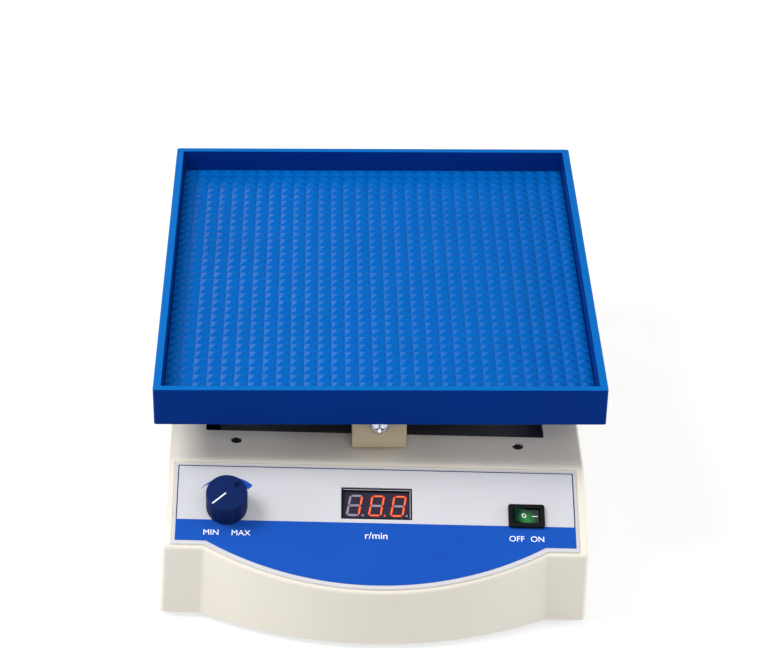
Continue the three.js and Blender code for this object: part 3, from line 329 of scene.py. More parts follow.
def finish(piece, made, body, slot, *replaced):
    """Smooths a piece up to its sharp edges, gives it its material and fixes it to its body."""
    only(piece)
    bpy.ops.object.shade_smooth_by_angle(angle=smooth_angle)
    apply(piece, "WEIGHTED_NORMAL", keep_sharp=True)
    if made is not None:
        piece.data.materials.clear()
        piece.data.materials.append(made)
    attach(piece, body)
    if replaced:
        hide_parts(*replaced)


def set_in(piece, matrix):
    """Moves a piece that was made about the origin to its place, in its mesh."""
    piece.matrix_world = matrix @ piece.matrix_world
    only(piece)
    bpy.ops.object.transform_apply(location=True, rotation=True, scale=True)


smooth_angle = math.radians(35)
joint_place = {joint["name"]: Vector(joint["pos_m"]) for joint in frame["joints"]}
drive_x, drive_y = joint_place["drive_turn"].xy
housing_base, housing_top = (corner.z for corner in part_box("housing"))
housing_half = 124.0 * MM
housing_half_top = 122.2 * MM
top_half_length = 142.8 * MM
panel_run = 55.0 * MM
panel_angle = math.radians(21.75)
bow_half_chord = 97.2 * MM
wall_half_chord = 100.0 * MM
bow_depth = 24.9 * MM
shell_wall = 3.0 * MM
plan_corner = 3.0 * MM
crease_radius = 1.2 * MM
edge_radius = 2.0 * MM
fold_radius = 9.0 * MM
fold_steps = 4
wall_foot = 20 * MM
tolerance = 0.01 * MM
knee_y = -top_half_length - panel_run

# The machine is drawn about the centre crank's axis and then set in its place
machine = Matrix.Translation((drive_x, drive_y, 0))
# On the panel, x runs across, y up the slope from the panel's upper edge, and z out of it
panel = (
    machine
    @ Matrix.Translation((0, -top_half_length, housing_top))
    @ Matrix.Rotation(panel_angle, 4, "X")
)


def bowed_block(name, half, top, flat, chord, bow, low, high):
    """A block from top back to flat, with a lens in front of it that bows out between two corners."""
    radius = (chord ** 2 + bow ** 2) / (2 * bow)
    piece = cube(name, (-half, flat, low), (half, top, high))
    lens = cylinder(name + "_bow", radius, low, high, (0, flat - bow + radius), 360)
    bisect(lens, (0, flat + shell_wall, 0), (0, 1, 0))
    combine(piece, lens, "UNION")
    pick(piece, lambda centre, normal: True)
    bpy.ops.mesh.dissolve_limited(angle_limit=math.radians(0.1))
    done()
    return piece


fold_reach = fold_radius * math.tan(panel_angle / 2)


def lay_over(piece):
    """Lowers the top in front of the fold into the panel's slope, round the fold's radius."""
    for step in range(-fold_steps, fold_steps + 1):
        fold_y = -top_half_length - fold_reach * step / fold_steps
        bisect(piece, (0, fold_y, 0), (0, 1, 0), clear=False)
    for vertex in piece.data.vertices:
        past = -top_half_length - vertex.co.y
        if vertex.co.z < housing_base + wall_foot or past <= -fold_reach:
            continue
        past = past if past > fold_reach else (past + fold_reach) ** 2 / (4 * fold_reach)
        vertex.co.z -= past * math.tan(panel_angle)


def upright(a, b):
    """An edge that runs from the foot of a wall to its top."""
    return abs(a.z - b.z) > shell_wall


housing = bowed_block(
    "housing_shell", housing_half, top_half_length, knee_y, wall_half_chord, bow_depth,
    housing_base, housing_top,
)
round_edges(
    housing, plan_corner, 6, lambda a, b: upright(a, b) and abs(abs(a.x) - housing_half) < MM,
)
round_edges(
    housing, crease_radius, 4,
    lambda a, b: upright(a, b) and abs(abs(a.x) - wall_half_chord) < 0.1 * MM
    and abs(a.y - knee_y) < MM,
)
round_edges(
    housing, edge_radius, 6,
    lambda a, b: abs(a.z - housing_top) < tolerance and abs(b.z - housing_top) < tolerance,
)
pick(housing, lambda place: place.z > housing_top - edge_radius - MM, "VERT")
draft = housing_half_top / housing_half
bpy.ops.transform.resize(value=(draft, 1, 1), center_override=(0, 0, housing_top))
done()
lay_over(housing)
hollow_radius = (wall_half_chord ** 2 + bow_depth ** 2) / (2 * bow_depth) - shell_wall
hollow = bowed_block(
    "hollow", housing_half_top - shell_wall, top_half_length - shell_wall, knee_y + shell_wall,
    math.sqrt(2 * hollow_radius * bow_depth - bow_depth ** 2), bow_depth,
    housing_base - shell_wall, housing_top - shell_wall,
)
lay_over(hollow)
combine(housing, hollow)

opening_half = Vector((100.5, 113.7)) * MM
opening_corner = 1.2 * MM
opening_cutter = cube(
    "opening_cutter",
    (-opening_half.x, -opening_half.y, housing_top - 2 * shell_wall),
    (opening_half.x, opening_half.y, housing_top + shell_wall),
)
round_edges(opening_cutter, opening_corner, 4, upright)
combine(housing, opening_cutter)

chassis_screw_x = 83.2 * MM
chassis_screw_y = top_half_length - 20 * MM
chassis_screw_aside = 1.1 * MM
countersink_radius = 3.4 * MM
for end in (-1, 1):
    for side in (-1, 1):
        combine(housing, cylinder(
            "countersink", countersink_radius, housing_top - 2 * shell_wall, housing_top + MM,
            (side * chassis_screw_x + chassis_screw_aside, end * chassis_screw_y), 48,
        ))

label_top = -4.6 * MM
window_half = Vector((20.55, 10.6)) * MM
window_place = Vector((0.28 * MM, label_top - 23.2 * MM))
knob_place = Vector((-86 * MM, label_top - 28 * MM))
switch_place = Vector((86.8 * MM, label_top - 30.1 * MM))
switch_hole_half = Vector((9.4, 6.4)) * MM
bushing_radius = 4.5 * MM
hole_depth = 13 * MM
to_machine = machine.inverted() @ panel


def panel_holes(low, high):
    """Cutters for the window, the switch and the knob's bushing, in the panel's own frame."""
    return [
        cube(name, (*place - half, low), (*place + half, high))
        for name, place, half in (
            ("window_cutter", window_place, window_half),
            ("switch_cutter", switch_place, switch_hole_half),
        )
    ] + [cylinder("bushing_cutter", bushing_radius, low, high, knob_place, 32)]


for cutter in panel_holes(-hole_depth, shell_wall):
    set_in(cutter, to_machine)
    combine(housing, cutter)
# A fine groove frames the panel, a little outside the label
panel_bow = 26.81 * MM
groove_half = 117.3 * MM
groove_top = -2 * MM
groove_flat = -57.85 * MM
groove_chord = 98.6 * MM
groove_width = 0.5 * MM
groove_depth = 0.5 * MM
groove = bowed_block(
    "groove", groove_half, groove_top, groove_flat, groove_chord, panel_bow, -groove_depth, 3 * MM,
)
combine(groove, bowed_block(
    "plateau", groove_half - groove_width, groove_top - groove_width, groove_flat + groove_width,
    groove_chord, panel_bow, -MM, 4 * MM,
))
set_in(groove, to_machine)
combine(housing, groove)


def middle(node):
    """The middle of a CAD piece's box."""
    low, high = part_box(node)
    return (low + high) / 2


inlet = middle("mains_inlet") - Vector((drive_x, drive_y, 0))
inlet_half = Vector((14, 10.5)) * MM
combine(housing, cube(
    "inlet_cutter",
    (inlet.x - inlet_half.x, top_half_length - 3 * shell_wall, inlet.z - inlet_half.y),
    (inlet.x + inlet_half.x, top_half_length + shell_wall, inlet.z + inlet_half.y),
))
set_in(housing, machine)
# Cream ABS: a warm off-white that hardly varies, with the mould's fine spark-eroded grain
cream_abs = textured(
    "cream ABS, satin moulded", "#dad5ca", "#d3cdc1", 0.42, 0.5 * MM, 0.02 * MM, IOR=1.52,
)
finish(housing, cream_abs, "base", "cream_plastic", "housing")


# Bottom cover and feet
# The cover is a pressed steel sheet with slots under the motor, painted grey. It is screwed up into the
# housing together with four black rubber feet.
doubles_gap = 0.001 * MM


def copied(piece, name, move):
    """A copy of a piece with its own mesh, moved by a matrix."""
    twin = piece.copy()
    twin.data = piece.data.copy()
    twin.name = twin.data.name = name
    bpy.context.scene.collection.objects.link(twin)
    set_in(twin, move)
    return twin


def eased(node, width, made, slot):
    """A copy of a CAD piece with its triangles merged into faces and its edges broken."""
    body = body_of(nodes[node])[0]
    piece = bpy.data.objects.new(node + "_eased", nodes[node].data.copy())
    bpy.context.scene.collection.objects.link(piece)
    only(piece)
    bpy.ops.object.mode_set(mode="EDIT")
    bpy.ops.mesh.select_mode(type="VERT")
    bpy.ops.mesh.select_all(action="SELECT")
    bpy.ops.mesh.remove_doubles(threshold=doubles_gap)
    bpy.ops.mesh.dissolve_limited(angle_limit=math.radians(0.5))
    done()
    soften(piece, width, segments=2)
    finish(piece, made, body, slot, node)


def extrude(*move):
    """Extrudes what is selected by this move."""
    bpy.ops.mesh.extrude_region_move(TRANSFORM_OT_translate={"value": move})


def spun(name, profile, sides=64):
    """A turned piece: an outline of (radius, height) points spun about the upright axis."""
    bpy.ops.object.select_all(action="DESELECT")
    bpy.ops.mesh.primitive_plane_add(size=MM)
    piece = bpy.context.object
    piece.name = piece.data.name = name
    bpy.ops.object.mode_set(mode="EDIT")
    bpy.ops.mesh.select_mode(type="VERT")
    bpy.ops.mesh.select_all(action="SELECT")
    bpy.ops.mesh.merge(type="CENTER")
    bpy.ops.transform.translate(value=(profile[0][0], 0, profile[0][1]))
    for (radius, height), (next_radius, next_height) in zip(profile, profile[1:]):
        extrude(next_radius - radius, 0, next_height - height)
    bpy.ops.mesh.select_all(action="SELECT")
    bpy.ops.mesh.spin(steps=sides, angle=2 * math.pi, center=(0, 0, 0), axis=(0, 0, 1))
    bpy.ops.mesh.select_all(action="SELECT")
    bpy.ops.mesh.remove_doubles(threshold=doubles_gap)
    bpy.ops.mesh.normals_make_consistent(inside=False)
    done()
    return piece


def scaled(*points):
    """Points given in millimetres."""
    return [tuple(value * MM for value in point) for point in points]


corners = ("front_left", "front_right", "rear_left", "rear_right")
# Painted steel sheet: an even dark grey with the slight orange peel of a stoved coat
painted_steel = textured(
    "steel sheet, stoved grey", "#3d3e42", "#35363a", 0.5, 1.2 * MM, 0.03 * MM,
    **{"Specular IOR Level": 0.25},
)
eased("bottom_cover", 0.25 * MM, painted_steel, "grey_steel")
# Natural rubber: near black and matt, faintly dusty
rubber = textured(
    "black moulded rubber", "#17171a", "#232326", 0.75, 0.7 * MM, 0.05 * MM, patch=12 * MM, IOR=1.52,
)
foot = spun("foot", scaled(
    (4.2, 0), (9.0, 0), (9.7, 0.3), (10, 1), (8.5, 4.5), (2.3, 4.5), (2.3, 2.9), (4.2, 2.9), (4.2, 0),
))
# Zinc-plated steel: pale bluish grey, with the fine rings that turning leaves
zinc_steel = textured(
    "zinc-plated turned steel", "#b9bcc2", "#a3a7b0", 0.3, 0.4 * MM, 0.01 * MM, (0.1, 0.1, 1),
    patch=15 * MM, Metallic=1.0,
)
for corner in corners:
    place = middle("foot_" + corner)
    moved = Matrix.Translation((place.x, place.y, 0))
    finish(copied(foot, "rubber_foot_" + corner, moved), rubber, "base", "rubber", "foot_" + corner)
    eased("foot_screw_" + corner, 0.2 * MM, zinc_steel, "zinc_steel")
bpy.data.objects.remove(foot)


# Chassis plate and its screws
# A steel plate under the housing's opening carries the whole drive. Four countersunk screws, black, go
# down through the housing's top into it; the front two show in front of the tray.
def cross_recess(piece, span, width, low, high):
    """Cuts a cross recess into the top of a screw that stands on the upright axis."""
    for half_x, half_y in ((span / 2, width / 2), (width / 2, span / 2)):
        combine(piece, cube("recess", (-half_x, -half_y, low), (half_x, half_y, high)))


eased("chassis_plate", 0.4 * MM, painted_steel, "grey_steel")
# Black-oxide steel: dark, with the grey gleam that a worn head gets
black_steel = textured(
    "black-oxide steel", "#38383c", "#2c2c30", 0.34, 0.3 * MM, 0.01 * MM, patch=6 * MM, Metallic=0.5,
)
screw_low, screw_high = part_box("chassis_screw_front_left")
screw_length = screw_high.z - screw_low.z
chassis_screw = spun("chassis_screw", [
    (0, -screw_length), (1.5 * MM, -screw_length), (1.5 * MM, -2.2 * MM), (3 * MM, -0.9 * MM),
    (3.15 * MM, -0.7 * MM), (2.3 * MM, 0), (0, 0),
])
cross_recess(chassis_screw, 3.2 * MM, 0.8 * MM, -1.1 * MM, MM)
for corner in corners:
    node = "chassis_screw_" + corner
    place = middle(node)
    moved = Matrix.Translation((place.x, place.y, screw_high.z))
    finish(copied(chassis_screw, node + "_turned", moved), black_steel, "base", "black_steel", node)
bpy.data.objects.remove(chassis_screw)


# Drive under the plate
# A shaded-pole motor turns the centre spindle through a toothed belt. The spindle runs in two ball
# bearings in a cast housing, and each idler crank in a bronze bush. All this is out of sight inside the
# housing.
def dress(made, *names):
    """Gives CAD pieces that stay as they are a better material."""
    for name in names:
        for material_slot in nodes[name].material_slots:
            material_slot.material = made


# Cast aluminium: light grey with the sand's dull grain
cast_aluminium = textured(
    "cast aluminium", "#a9abae", "#95979b", 0.45, 0.9 * MM, 0.08 * MM, patch=25 * MM, Metallic=1.0,
)
# Sintered bronze: brown and porous, filled with oil
sintered_bronze = textured(
    "sintered bronze", "#8d6f45", "#77582f", 0.48, 0.3 * MM, 0.04 * MM, patch=4 * MM, Metallic=1.0,
)
dress(cast_aluminium, "spindle_housing", "driven_pulley", "motor_pulley")
dress(
    zinc_steel, "spindle_bearing_upper", "spindle_bearing_lower", "carrier_bearing", "knob_shaft",
    "potentiometer", "potentiometer_nut",
)
dress(sintered_bronze, *("idler_bush_" + corner for corner in corners))
dress(black_steel, "motor")
dress(rubber, "drive_belt")


# Cranks
# Five steel cranks of equal throw carry the platform round without letting it turn. The centre one is
# driven and has a counterweight opposite its pin. They are turned and then zinc-plated.
for node in ("drive_spindle", *("idler_crank_" + corner for corner in corners)):
    eased(node, 0.4 * MM, zinc_steel, "zinc_steel")


# Carrier, rod and clamps
# A cast aluminium frame rides on the cranks. Two clamps on it hold a round steel rod that runs under the
# tray from front to rear, so that the tray can be set level and locked.
eased("tray_carrier", 0.6 * MM, cast_aluminium, "aluminium")
for end in ("front", "rear"):
    eased("rod_clamp_" + end, 0.6 * MM, cast_aluminium, "aluminium")
pin = joint_place["carrier_turn"]
rod_height = 92.8 * MM
tray_lean = math.radians(-1.6)
rod_radius = 6 * MM
rod_half_length = 110.5 * MM
leaning = Matrix.Translation((pin.x, pin.y, rod_height)) @ Matrix.Rotation(tray_lean, 4, "Y")
along_y = Matrix.Rotation(math.radians(-90), 4, "X")
# Ground silver steel: bright, with the fine rings of grinding across its length
ground_steel = textured(
    "ground steel rod", "#c4c6ca", "#b4b6bb", 0.22, 0.3 * MM, 0.006 * MM, (0.1, 1, 0.1),
    patch=20 * MM, Metallic=1.0,
)
rod = spun("round_rod", [
    (0, -rod_half_length), (rod_radius - MM, -rod_half_length), (rod_radius, MM - rod_half_length),
    (rod_radius, rod_half_length - MM), (rod_radius - MM, rod_half_length), (0, rod_half_length),
])
set_in(rod, leaning @ along_y)
finish(rod, ground_steel, "tray_platform", "zinc_steel", "carrier_rod")


# End blocks
# Two milled nylon blocks on the rod's ends carry the tray. A chrome-plated screw and a plain washer
# close each end of the rod, and two zinc-plated screws go up from each block into the tray.
block_half_width = 16 * MM
block_front = -120.5 * MM
block_back = -98.5 * MM
block_low = -17.3 * MM
block_high = 14.5 * MM
bore_radius = rod_radius + 0.3 * MM
bore_depth = 11.3 * MM
clearance_radius = 2.8 * MM
tray_screw_x = 10.5 * MM
tray_screw_y = -109.5 * MM
head_recess_radius = 3.9 * MM
head_recess_depth = 6 * MM
shank_hole_radius = 2.0 * MM
end_block = cube(
    "end_block", (-block_half_width, block_front, block_low),
    (block_half_width, block_back, block_high),
)
for name, radius, reach, start in (
    ("rod_bore", bore_radius, bore_depth, block_back),
    ("screw_clearance", clearance_radius, 30 * MM, block_front),
):
    hole = cylinder(name, radius, -reach, reach)
    set_in(hole, Matrix.Translation((0, start, 0)) @ along_y)
    combine(end_block, hole)
for side in (-1, 1):
    place = (side * tray_screw_x, tray_screw_y)
    for name, radius, top in (
        ("head_recess", head_recess_radius, block_low + head_recess_depth),
        ("shank_hole", shank_hole_radius, block_high + MM),
    ):
        combine(end_block, cylinder(name, radius, block_low - MM, top, place))
soften(end_block, 0.5 * MM, segments=2)
# Milled cast nylon: dull ivory that lets light in a little, with faint upright cutter marks
nylon = textured(
    "milled cast nylon", "#c2b598", "#b1a387", 0.5, 0.6 * MM, 0.015 * MM, (1, 1, 0.06), patch=9 * MM,
    IOR=1.53, **{"Subsurface Weight": 0.15, "Subsurface Radius": (2 * MM, 1.6 * MM, 1.2 * MM)},
)
# Bright chrome plate: mirror-like, darker where it sees the black gap
chrome = textured(
    "bright chrome plate", "#d4d6da", "#c9ccd2", 0.12, 0.5 * MM, 0.003 * MM, patch=5 * MM, Metallic=1.0,
)
washer_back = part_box("end_washer_front")[1].y
end_screw_low, end_screw_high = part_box("end_screw_front")
washer = spun("washer", scaled((2.8, 0), (5.8, 0), (6, 0.2), (6, 0.8), (5.8, 1), (2.8, 1), (2.8, 0)))
crown = end_screw_high.y - end_screw_low.y
end_screw = spun("end_screw", [
    (0, 0), (2.4 * MM, 0), (2.4 * MM, crown - 3 * MM), (4.8 * MM, crown - 3 * MM),
    (5 * MM, crown - 2.7 * MM), (4.9 * MM, crown - 1.4 * MM), (4.3 * MM, crown - 0.6 * MM),
    (2.9 * MM, crown - 0.1 * MM), (0, crown),
])
cross_recess(end_screw, 5.6 * MM, 1.2 * MM, crown - 1.5 * MM, crown + MM)
# The screw and the washer stand on the upright axis until they are turned to look out of the front face
to_front = Matrix.Rotation(math.radians(90), 4, "X")
screw_shift = Matrix.Translation((0, end_screw_high.y - pin.y, 0))
washer_shift = Matrix.Translation((0, washer_back - pin.y, 0))
for end, turn in (("front", 0), ("rear", math.pi)):
    seat = leaning @ Matrix.Rotation(turn, 4, "Z")
    for piece, name, shift, made, slot, node in (
        (end_block, "nylon_block_", Matrix(), nylon, "nylon", "end_block_"),
        (washer, "plain_washer_", washer_shift @ to_front, zinc_steel, "zinc_steel", "end_washer_"),
        (end_screw, "chrome_screw_", screw_shift @ to_front, chrome, "chrome_steel", "end_screw_"),
    ):
        finish(copied(piece, name + end, seat @ shift), made, "tray_platform", slot, node + end)
for piece in (end_block, washer, end_screw):
    bpy.data.objects.remove(piece)
dress(zinc_steel, *("tray_screw_" + corner for corner in corners))


# Tray
# One injection-moulded tray of glossy blue ABS: a thick rim over a deep thin skirt, and ribs and two
# pads under its floor, where the end blocks are screwed on.
def paint(piece, made, test):
    """Gives the faces that pass the test a material of their own."""
    piece.data.materials.append(made)
    pick(piece, test)
    piece.active_material_index = len(piece.data.materials) - 1
    bpy.ops.object.material_slot_assign()
    done()


tray_half = Vector((130, 140.5)) * MM
tray_low = 13.8 * MM
tray_high = 37.8 * MM
rim_wall = 4.6 * MM
skirt_wall = 2.8 * MM
floor_high = 21.8 * MM
floor_low = 18.8 * MM
tray_corner = 1.6 * MM
rib_low = 14.8 * MM
rib_place = 64 * MM
rib_half = MM
rib_reach = tray_half - Vector((1, 1)) * (skirt_wall - 0.5 * MM)
pad_half = (19 * MM, 14 * MM)
tray = cube(
    "moulded_tray", (-tray_half.x, -tray_half.y, tray_low), (tray_half.x, tray_half.y, tray_high),
)
pick(tray, lambda centre, normal: normal.z > 0.9)
bpy.ops.mesh.inset(thickness=rim_wall, use_even_offset=True)
extrude(0, 0, floor_high - tray_high)
done()
pick(tray, lambda centre, normal: normal.z < -0.9)
bpy.ops.mesh.inset(thickness=skirt_wall, use_even_offset=True)
extrude(0, 0, floor_low - tray_low)
done()
round_edges(
    tray, tray_corner, 4,
    lambda a, b: abs(a.z - b.z) > MM and min(a.xy.length, b.xy.length) > tray_half.length - MM,
)
ribs = [((x, 0), (rib_half, rib_reach.y)) for x in (-rib_place, 0, rib_place)]
ribs += [((0, y), (rib_reach.x, rib_half)) for y in (-rib_place, 0, rib_place)]
ribs += [((0, end * -tray_screw_y), pad_half) for end in (-1, 1)]
for (x, y), (half_x, half_y) in ribs:
    combine(tray, cube(
        "rib", (x - half_x, y - half_y, rib_low), (x + half_x, y + half_y, floor_low + MM),
    ), "UNION")
soften(tray, 0.5 * MM)
# Gloss ABS: a dark diffuse blue under a weak, bluish shine. The rim looks up into the light, so its top
# gets a paler copy of the same blue, a painted highlight; the skirt and walls keep the darker copy
low_sheen = {"Specular IOR Level": 0.07, "Specular Tint": linear("#3aa0ff")}
gloss_blue = textured(
    "gloss blue ABS", "#042c7a", "#052870", 0.3, 1.5 * MM, 0.01 * MM, **low_sheen,
)
painted_highlight_rim_blue = textured(
    "gloss blue ABS, rim with painted highlight", "#0460ab", "#055aa2", 0.3, 1.5 * MM, 0.01 * MM, **low_sheen,
)
tray.data.materials.append(gloss_blue)
# Painted highlight: the rim's upward faces take the paler copy of the blue
paint(tray, painted_highlight_rim_blue, lambda centre, normal: normal.z > 0.9 and centre.z > tray_high - 0.2 * MM)
set_in(tray, leaning)
finish(tray, None, "tray_platform", "blue_plastic", "tray")


# Mat
# A soft blue mat covers the tray's floor. Its face is a field of low square pyramids, so that flasks and
# plates don't slide. It is moulded in one piece and lies loose.
mat_half = Vector((125.1, 135.6)) * MM
mat_low = 22.1 * MM
mat_face = 23.9 * MM
pyramid_height = 1.8 * MM
pyramids = (31, 34)
bpy.ops.object.select_all(action="DESELECT")
bpy.ops.mesh.primitive_grid_add(
    x_subdivisions=pyramids[0], y_subdivisions=pyramids[1], size=2, location=(0, 0, mat_face),
)
bpy.context.object.scale = (mat_half.x, mat_half.y, 1)
mat = settled("pyramid_mat")
pick(mat, lambda centre, normal: True)
bpy.ops.mesh.poke(offset=pyramid_height)
done()


def on_mat_edge(a, b):
    """An edge of the mat's outline."""
    def on(place, axis):
        """Whether a place lies on the outline across this axis."""
        return abs(abs(place[axis]) - mat_half[axis]) < tolerance
    return any(on(a, axis) and on(b, axis) and a[axis] * b[axis] > 0 for axis in (0, 1))


pick(mat, on_mat_edge, "EDGE")
extrude(0, 0, mat_low - mat_face)
bpy.ops.mesh.edge_face_add()
done()
soften(mat, 0.25 * MM, segments=1, angle=20)
set_in(mat, leaning)
# Soft PVC: the tray's blue, a little lighter and less glossy, with a faintly leathery skin
soft_pvc = textured(
    "soft blue PVC", "#0158a8", "#01529d", 0.4, 0.8 * MM, 0.03 * MM, patch=40 * MM,
    **{"Specular IOR Level": 0.14, "Specular Tint": linear("#1488ff")},
)
finish(mat, soft_pvc, "tray_platform", "blue_plastic", "tray_mat")


# Label film
# A printed polycarbonate film covers the sloped panel: pale field above with a thin border, blue field
# below that follows the bow, and a white margin all round. It has cut-outs for the window, the knob and
# the switch.
film_low = 0.15 * MM
film_middle = 0.35 * MM
film_high = 0.65 * MM
film_half = 115 * MM
film_flat = -54.616 * MM
blue_edge = -40.85 * MM
border_width = 0.6 * MM
side_margin = 1.5 * MM
top_margin = 1.4 * MM
low_margin = 2.4 * MM
# Printed film: the white and the blue are inks under a clear, faintly pebbled face
white_film = textured(
    "polycarbonate film, printed white", "#bdbdc2", "#b8b8be", 0.38, 0.35 * MM, 0.006 * MM, IOR=1.58,
)
blue_film = textured(
    "polycarbonate film, printed blue", "#1b4fab", "#17469e", 0.34, 0.35 * MM, 0.006 * MM, **low_sheen,
)
line_film = textured(
    "polycarbonate film, printed dark line", "#242e58", "#1f284d", 0.36, 0.35 * MM, 0.006 * MM,
    **low_sheen,
)
label = bowed_block(
    "panel_film", film_half, label_top, film_flat, bow_half_chord, panel_bow, film_middle, film_high,
)
margin = bowed_block(
    "panel_film_margin", film_half + side_margin, label_top + top_margin, film_flat - low_margin,
    bow_half_chord + side_margin, panel_bow, film_low, film_middle,
)
for film in (label, margin):
    for cutter in panel_holes(-MM, MM):
        combine(film, cutter)
set_in(margin, panel)
finish(margin, white_film, "base", "label_film")
for y in (blue_edge, label_top - border_width):
    bisect(label, (0, y, 0), (0, 1, 0), clear=False)
for side in (-1, 1):
    bisect(label, (side * (film_half - border_width), 0, 0), (1, 0, 0), clear=False)
label.data.materials.append(white_film)
paint(label, line_film, lambda centre, normal: centre.y > blue_edge and (
    centre.y > label_top - border_width or abs(centre.x) > film_half - border_width
))
paint(label, blue_film, lambda centre, normal: centre.y < blue_edge)
set_in(label, panel)
finish(label, None, "base", "label_film", "front_label")

# The speed scale is a crescent between two circles whose centres lie apart on one line
scale_turn = math.radians(46)
scale_line = Vector((math.cos(scale_turn), math.sin(scale_turn)))
ink_high = film_high + 0.04 * MM
outer_radius = 19.7 * MM
outer_centre = knob_place + 1.15 * MM * scale_line
inner_radius = 19.4 * MM
inner_centre = knob_place - 2.3 * MM * scale_line
speed_scale = cylinder("speed_scale", outer_radius, film_high, ink_high, outer_centre, 256)
combine(speed_scale, cylinder("scale_cutter", inner_radius, 0, MM, inner_centre, 256))
bisect(speed_scale, (*knob_place, film_high), (scale_line.y, -scale_line.x, 0))
set_in(speed_scale, panel)
finish(speed_scale, blue_film, "base", "label_film")


# Printed words
# Plain markings in white ink on the blue field: the knob's two ends, the unit under the display and the
# switch's two states. A capital is about 0.7 of its type's size.
capital_share = 0.7
words_y = -49.4 * MM
word_height = 3.6 * MM
unit_height = 4.4 * MM
knob_word_aside = 8.5 * MM
switch_word_aside = 6 * MM


def printed(words, height, x):
    """Words in ink of this height, centred on the line of words at a place across the panel."""
    bpy.ops.object.select_all(action="DESELECT")
    bpy.ops.object.text_add()
    text = bpy.context.object
    text.data.body = words
    text.data.size = height / capital_share
    text.data.align_x = "CENTER"
    text.data.align_y = "CENTER"
    text.data.extrude = (ink_high - film_high) / 2
    only(text)
    bpy.ops.object.convert(target="MESH")
    text = bpy.context.object
    set_in(text, Matrix.Translation((x, words_y, (ink_high + film_high) / 2)))
    return text


# Screen ink: flat opaque white that stands a hair above the film
white_ink = textured(
    "white screen ink", "#eef0f6", "#e6e9f1", 0.55, 0.3 * MM, 0.005 * MM, patch=10 * MM, IOR=1.5,
)
only(
    printed("MIN", word_height, knob_place.x - knob_word_aside),
    printed("MAX", word_height, knob_place.x + knob_word_aside),
    printed("r/min", unit_height, 0),
    printed("OFF", word_height, switch_place.x - switch_word_aside),
    printed("ON", word_height, switch_place.x + switch_word_aside),
)
bpy.ops.object.join()
marks = settled("panel_words")
set_in(marks, panel)
finish(marks, white_ink, "base", "label_film")


# Digital display
# A three-digit LED module behind a clear pane. The module is black plastic with pale plastic bars let
# into its face; the bars that are lit glow orange-red.
module_half = Vector((19.4, 9.5)) * MM
module_low = -11.95 * MM
module_high = -2 * MM
bar_high = module_high + 0.05 * MM
digit_height = 14.22 * MM
digit_width = 8.0 * MM
digit_pitch = 12.7 * MM
bar_width = 1.3 * MM
bar_edge = 0.28 * MM
bar_point = 0.12
point_radius = 0.65 * MM
point_gap = 0.75 * MM
digit_slant = math.radians(9.5)
# Black module plastic: matt, with a violet cast where light falls in
module_black = textured(
    "matt black ABS", "#3a3b4a", "#323340", 0.5, 0.5 * MM, 0.02 * MM, patch=15 * MM, IOR=1.52,
)


def glowing(name, base, glow, strength):
    """Milky plastic that glows from inside."""
    return textured(
        name, base, base, 0.4, 0.5 * MM, 0.01 * MM, patch=3 * MM, IOR=1.5,
        **{"Emission Color": linear(glow), "Emission Strength": strength},
    )


# Milky epoxy: grey-white when unlit; lit, it glows orange in the middle and red along its edges
unlit_bar = textured(
    "milky epoxy, unlit", "#f0ebe8", "#d5cad0", 0.4, 0.5 * MM, 0.01 * MM, patch=4 * MM, IOR=1.5,
)
lit_edge = glowing("milky epoxy, lit red", "#b01208", "#ff2408", 1.1)
lit_core = glowing("milky epoxy, lit orange", "#e04a18", "#ff9440", 1.5)


def light(piece):
    """Gives a lit piece a red edge and, inside it, a brighter core."""
    piece.data.materials.append(lit_edge)
    piece.data.materials.append(lit_core)
    pick(piece, lambda centre, normal: normal.z > 0.9)
    bpy.ops.mesh.inset(thickness=bar_edge, use_even_offset=True)
    piece.active_material_index = 1
    bpy.ops.object.material_slot_assign()
    done()


def bar(name, length, lit, move):
    """One bar of a digit, pointed at both ends, lit with a brighter core or not."""
    half = (length - bar_width) / 2
    piece = cube(name, (-half, -bar_width / 2, module_high - MM), (half, bar_width / 2, bar_high))
    for side in (-1, 1):
        pick(piece, lambda centre, normal: normal.x * side > 0.9)
        extrude(side * bar_width / 2, 0, 0)
        bpy.ops.transform.resize(value=(1, bar_point, 1), center_override=(0, 0, module_high))
        done()
    if lit:
        light(piece)
    else:
        piece.data.materials.append(unlit_bar)
    piece.data.transform(move)
    return piece


module = cube(
    "led_module", (*window_place - module_half, module_low), (*window_place + module_half, module_high),
)
soften(module, 0.3 * MM, segments=2)
module.data.materials.append(module_black)
lean_right = Matrix.Shear("XZ", 4, (math.tan(digit_slant), 0))
across = digit_width - 1.5 * bar_width
tall = digit_height / 2 - 0.8 * bar_width
half_across = (digit_width - bar_width) / 2
half_tall = (digit_height - bar_width) / 2
# Each bar has its length, the place of its middle in the digit, and whether it stands upright
bars = {
    "a": (across, 0, half_tall, False),
    "b": (tall, half_across, half_tall / 2, True),
    "c": (tall, half_across, -half_tall / 2, True),
    "d": (across, 0, -half_tall, False),
    "e": (tall, -half_across, -half_tall / 2, True),
    "f": (tall, -half_across, half_tall / 2, True),
    "g": (across, 0, 0, False),
}
led_pieces = [module]
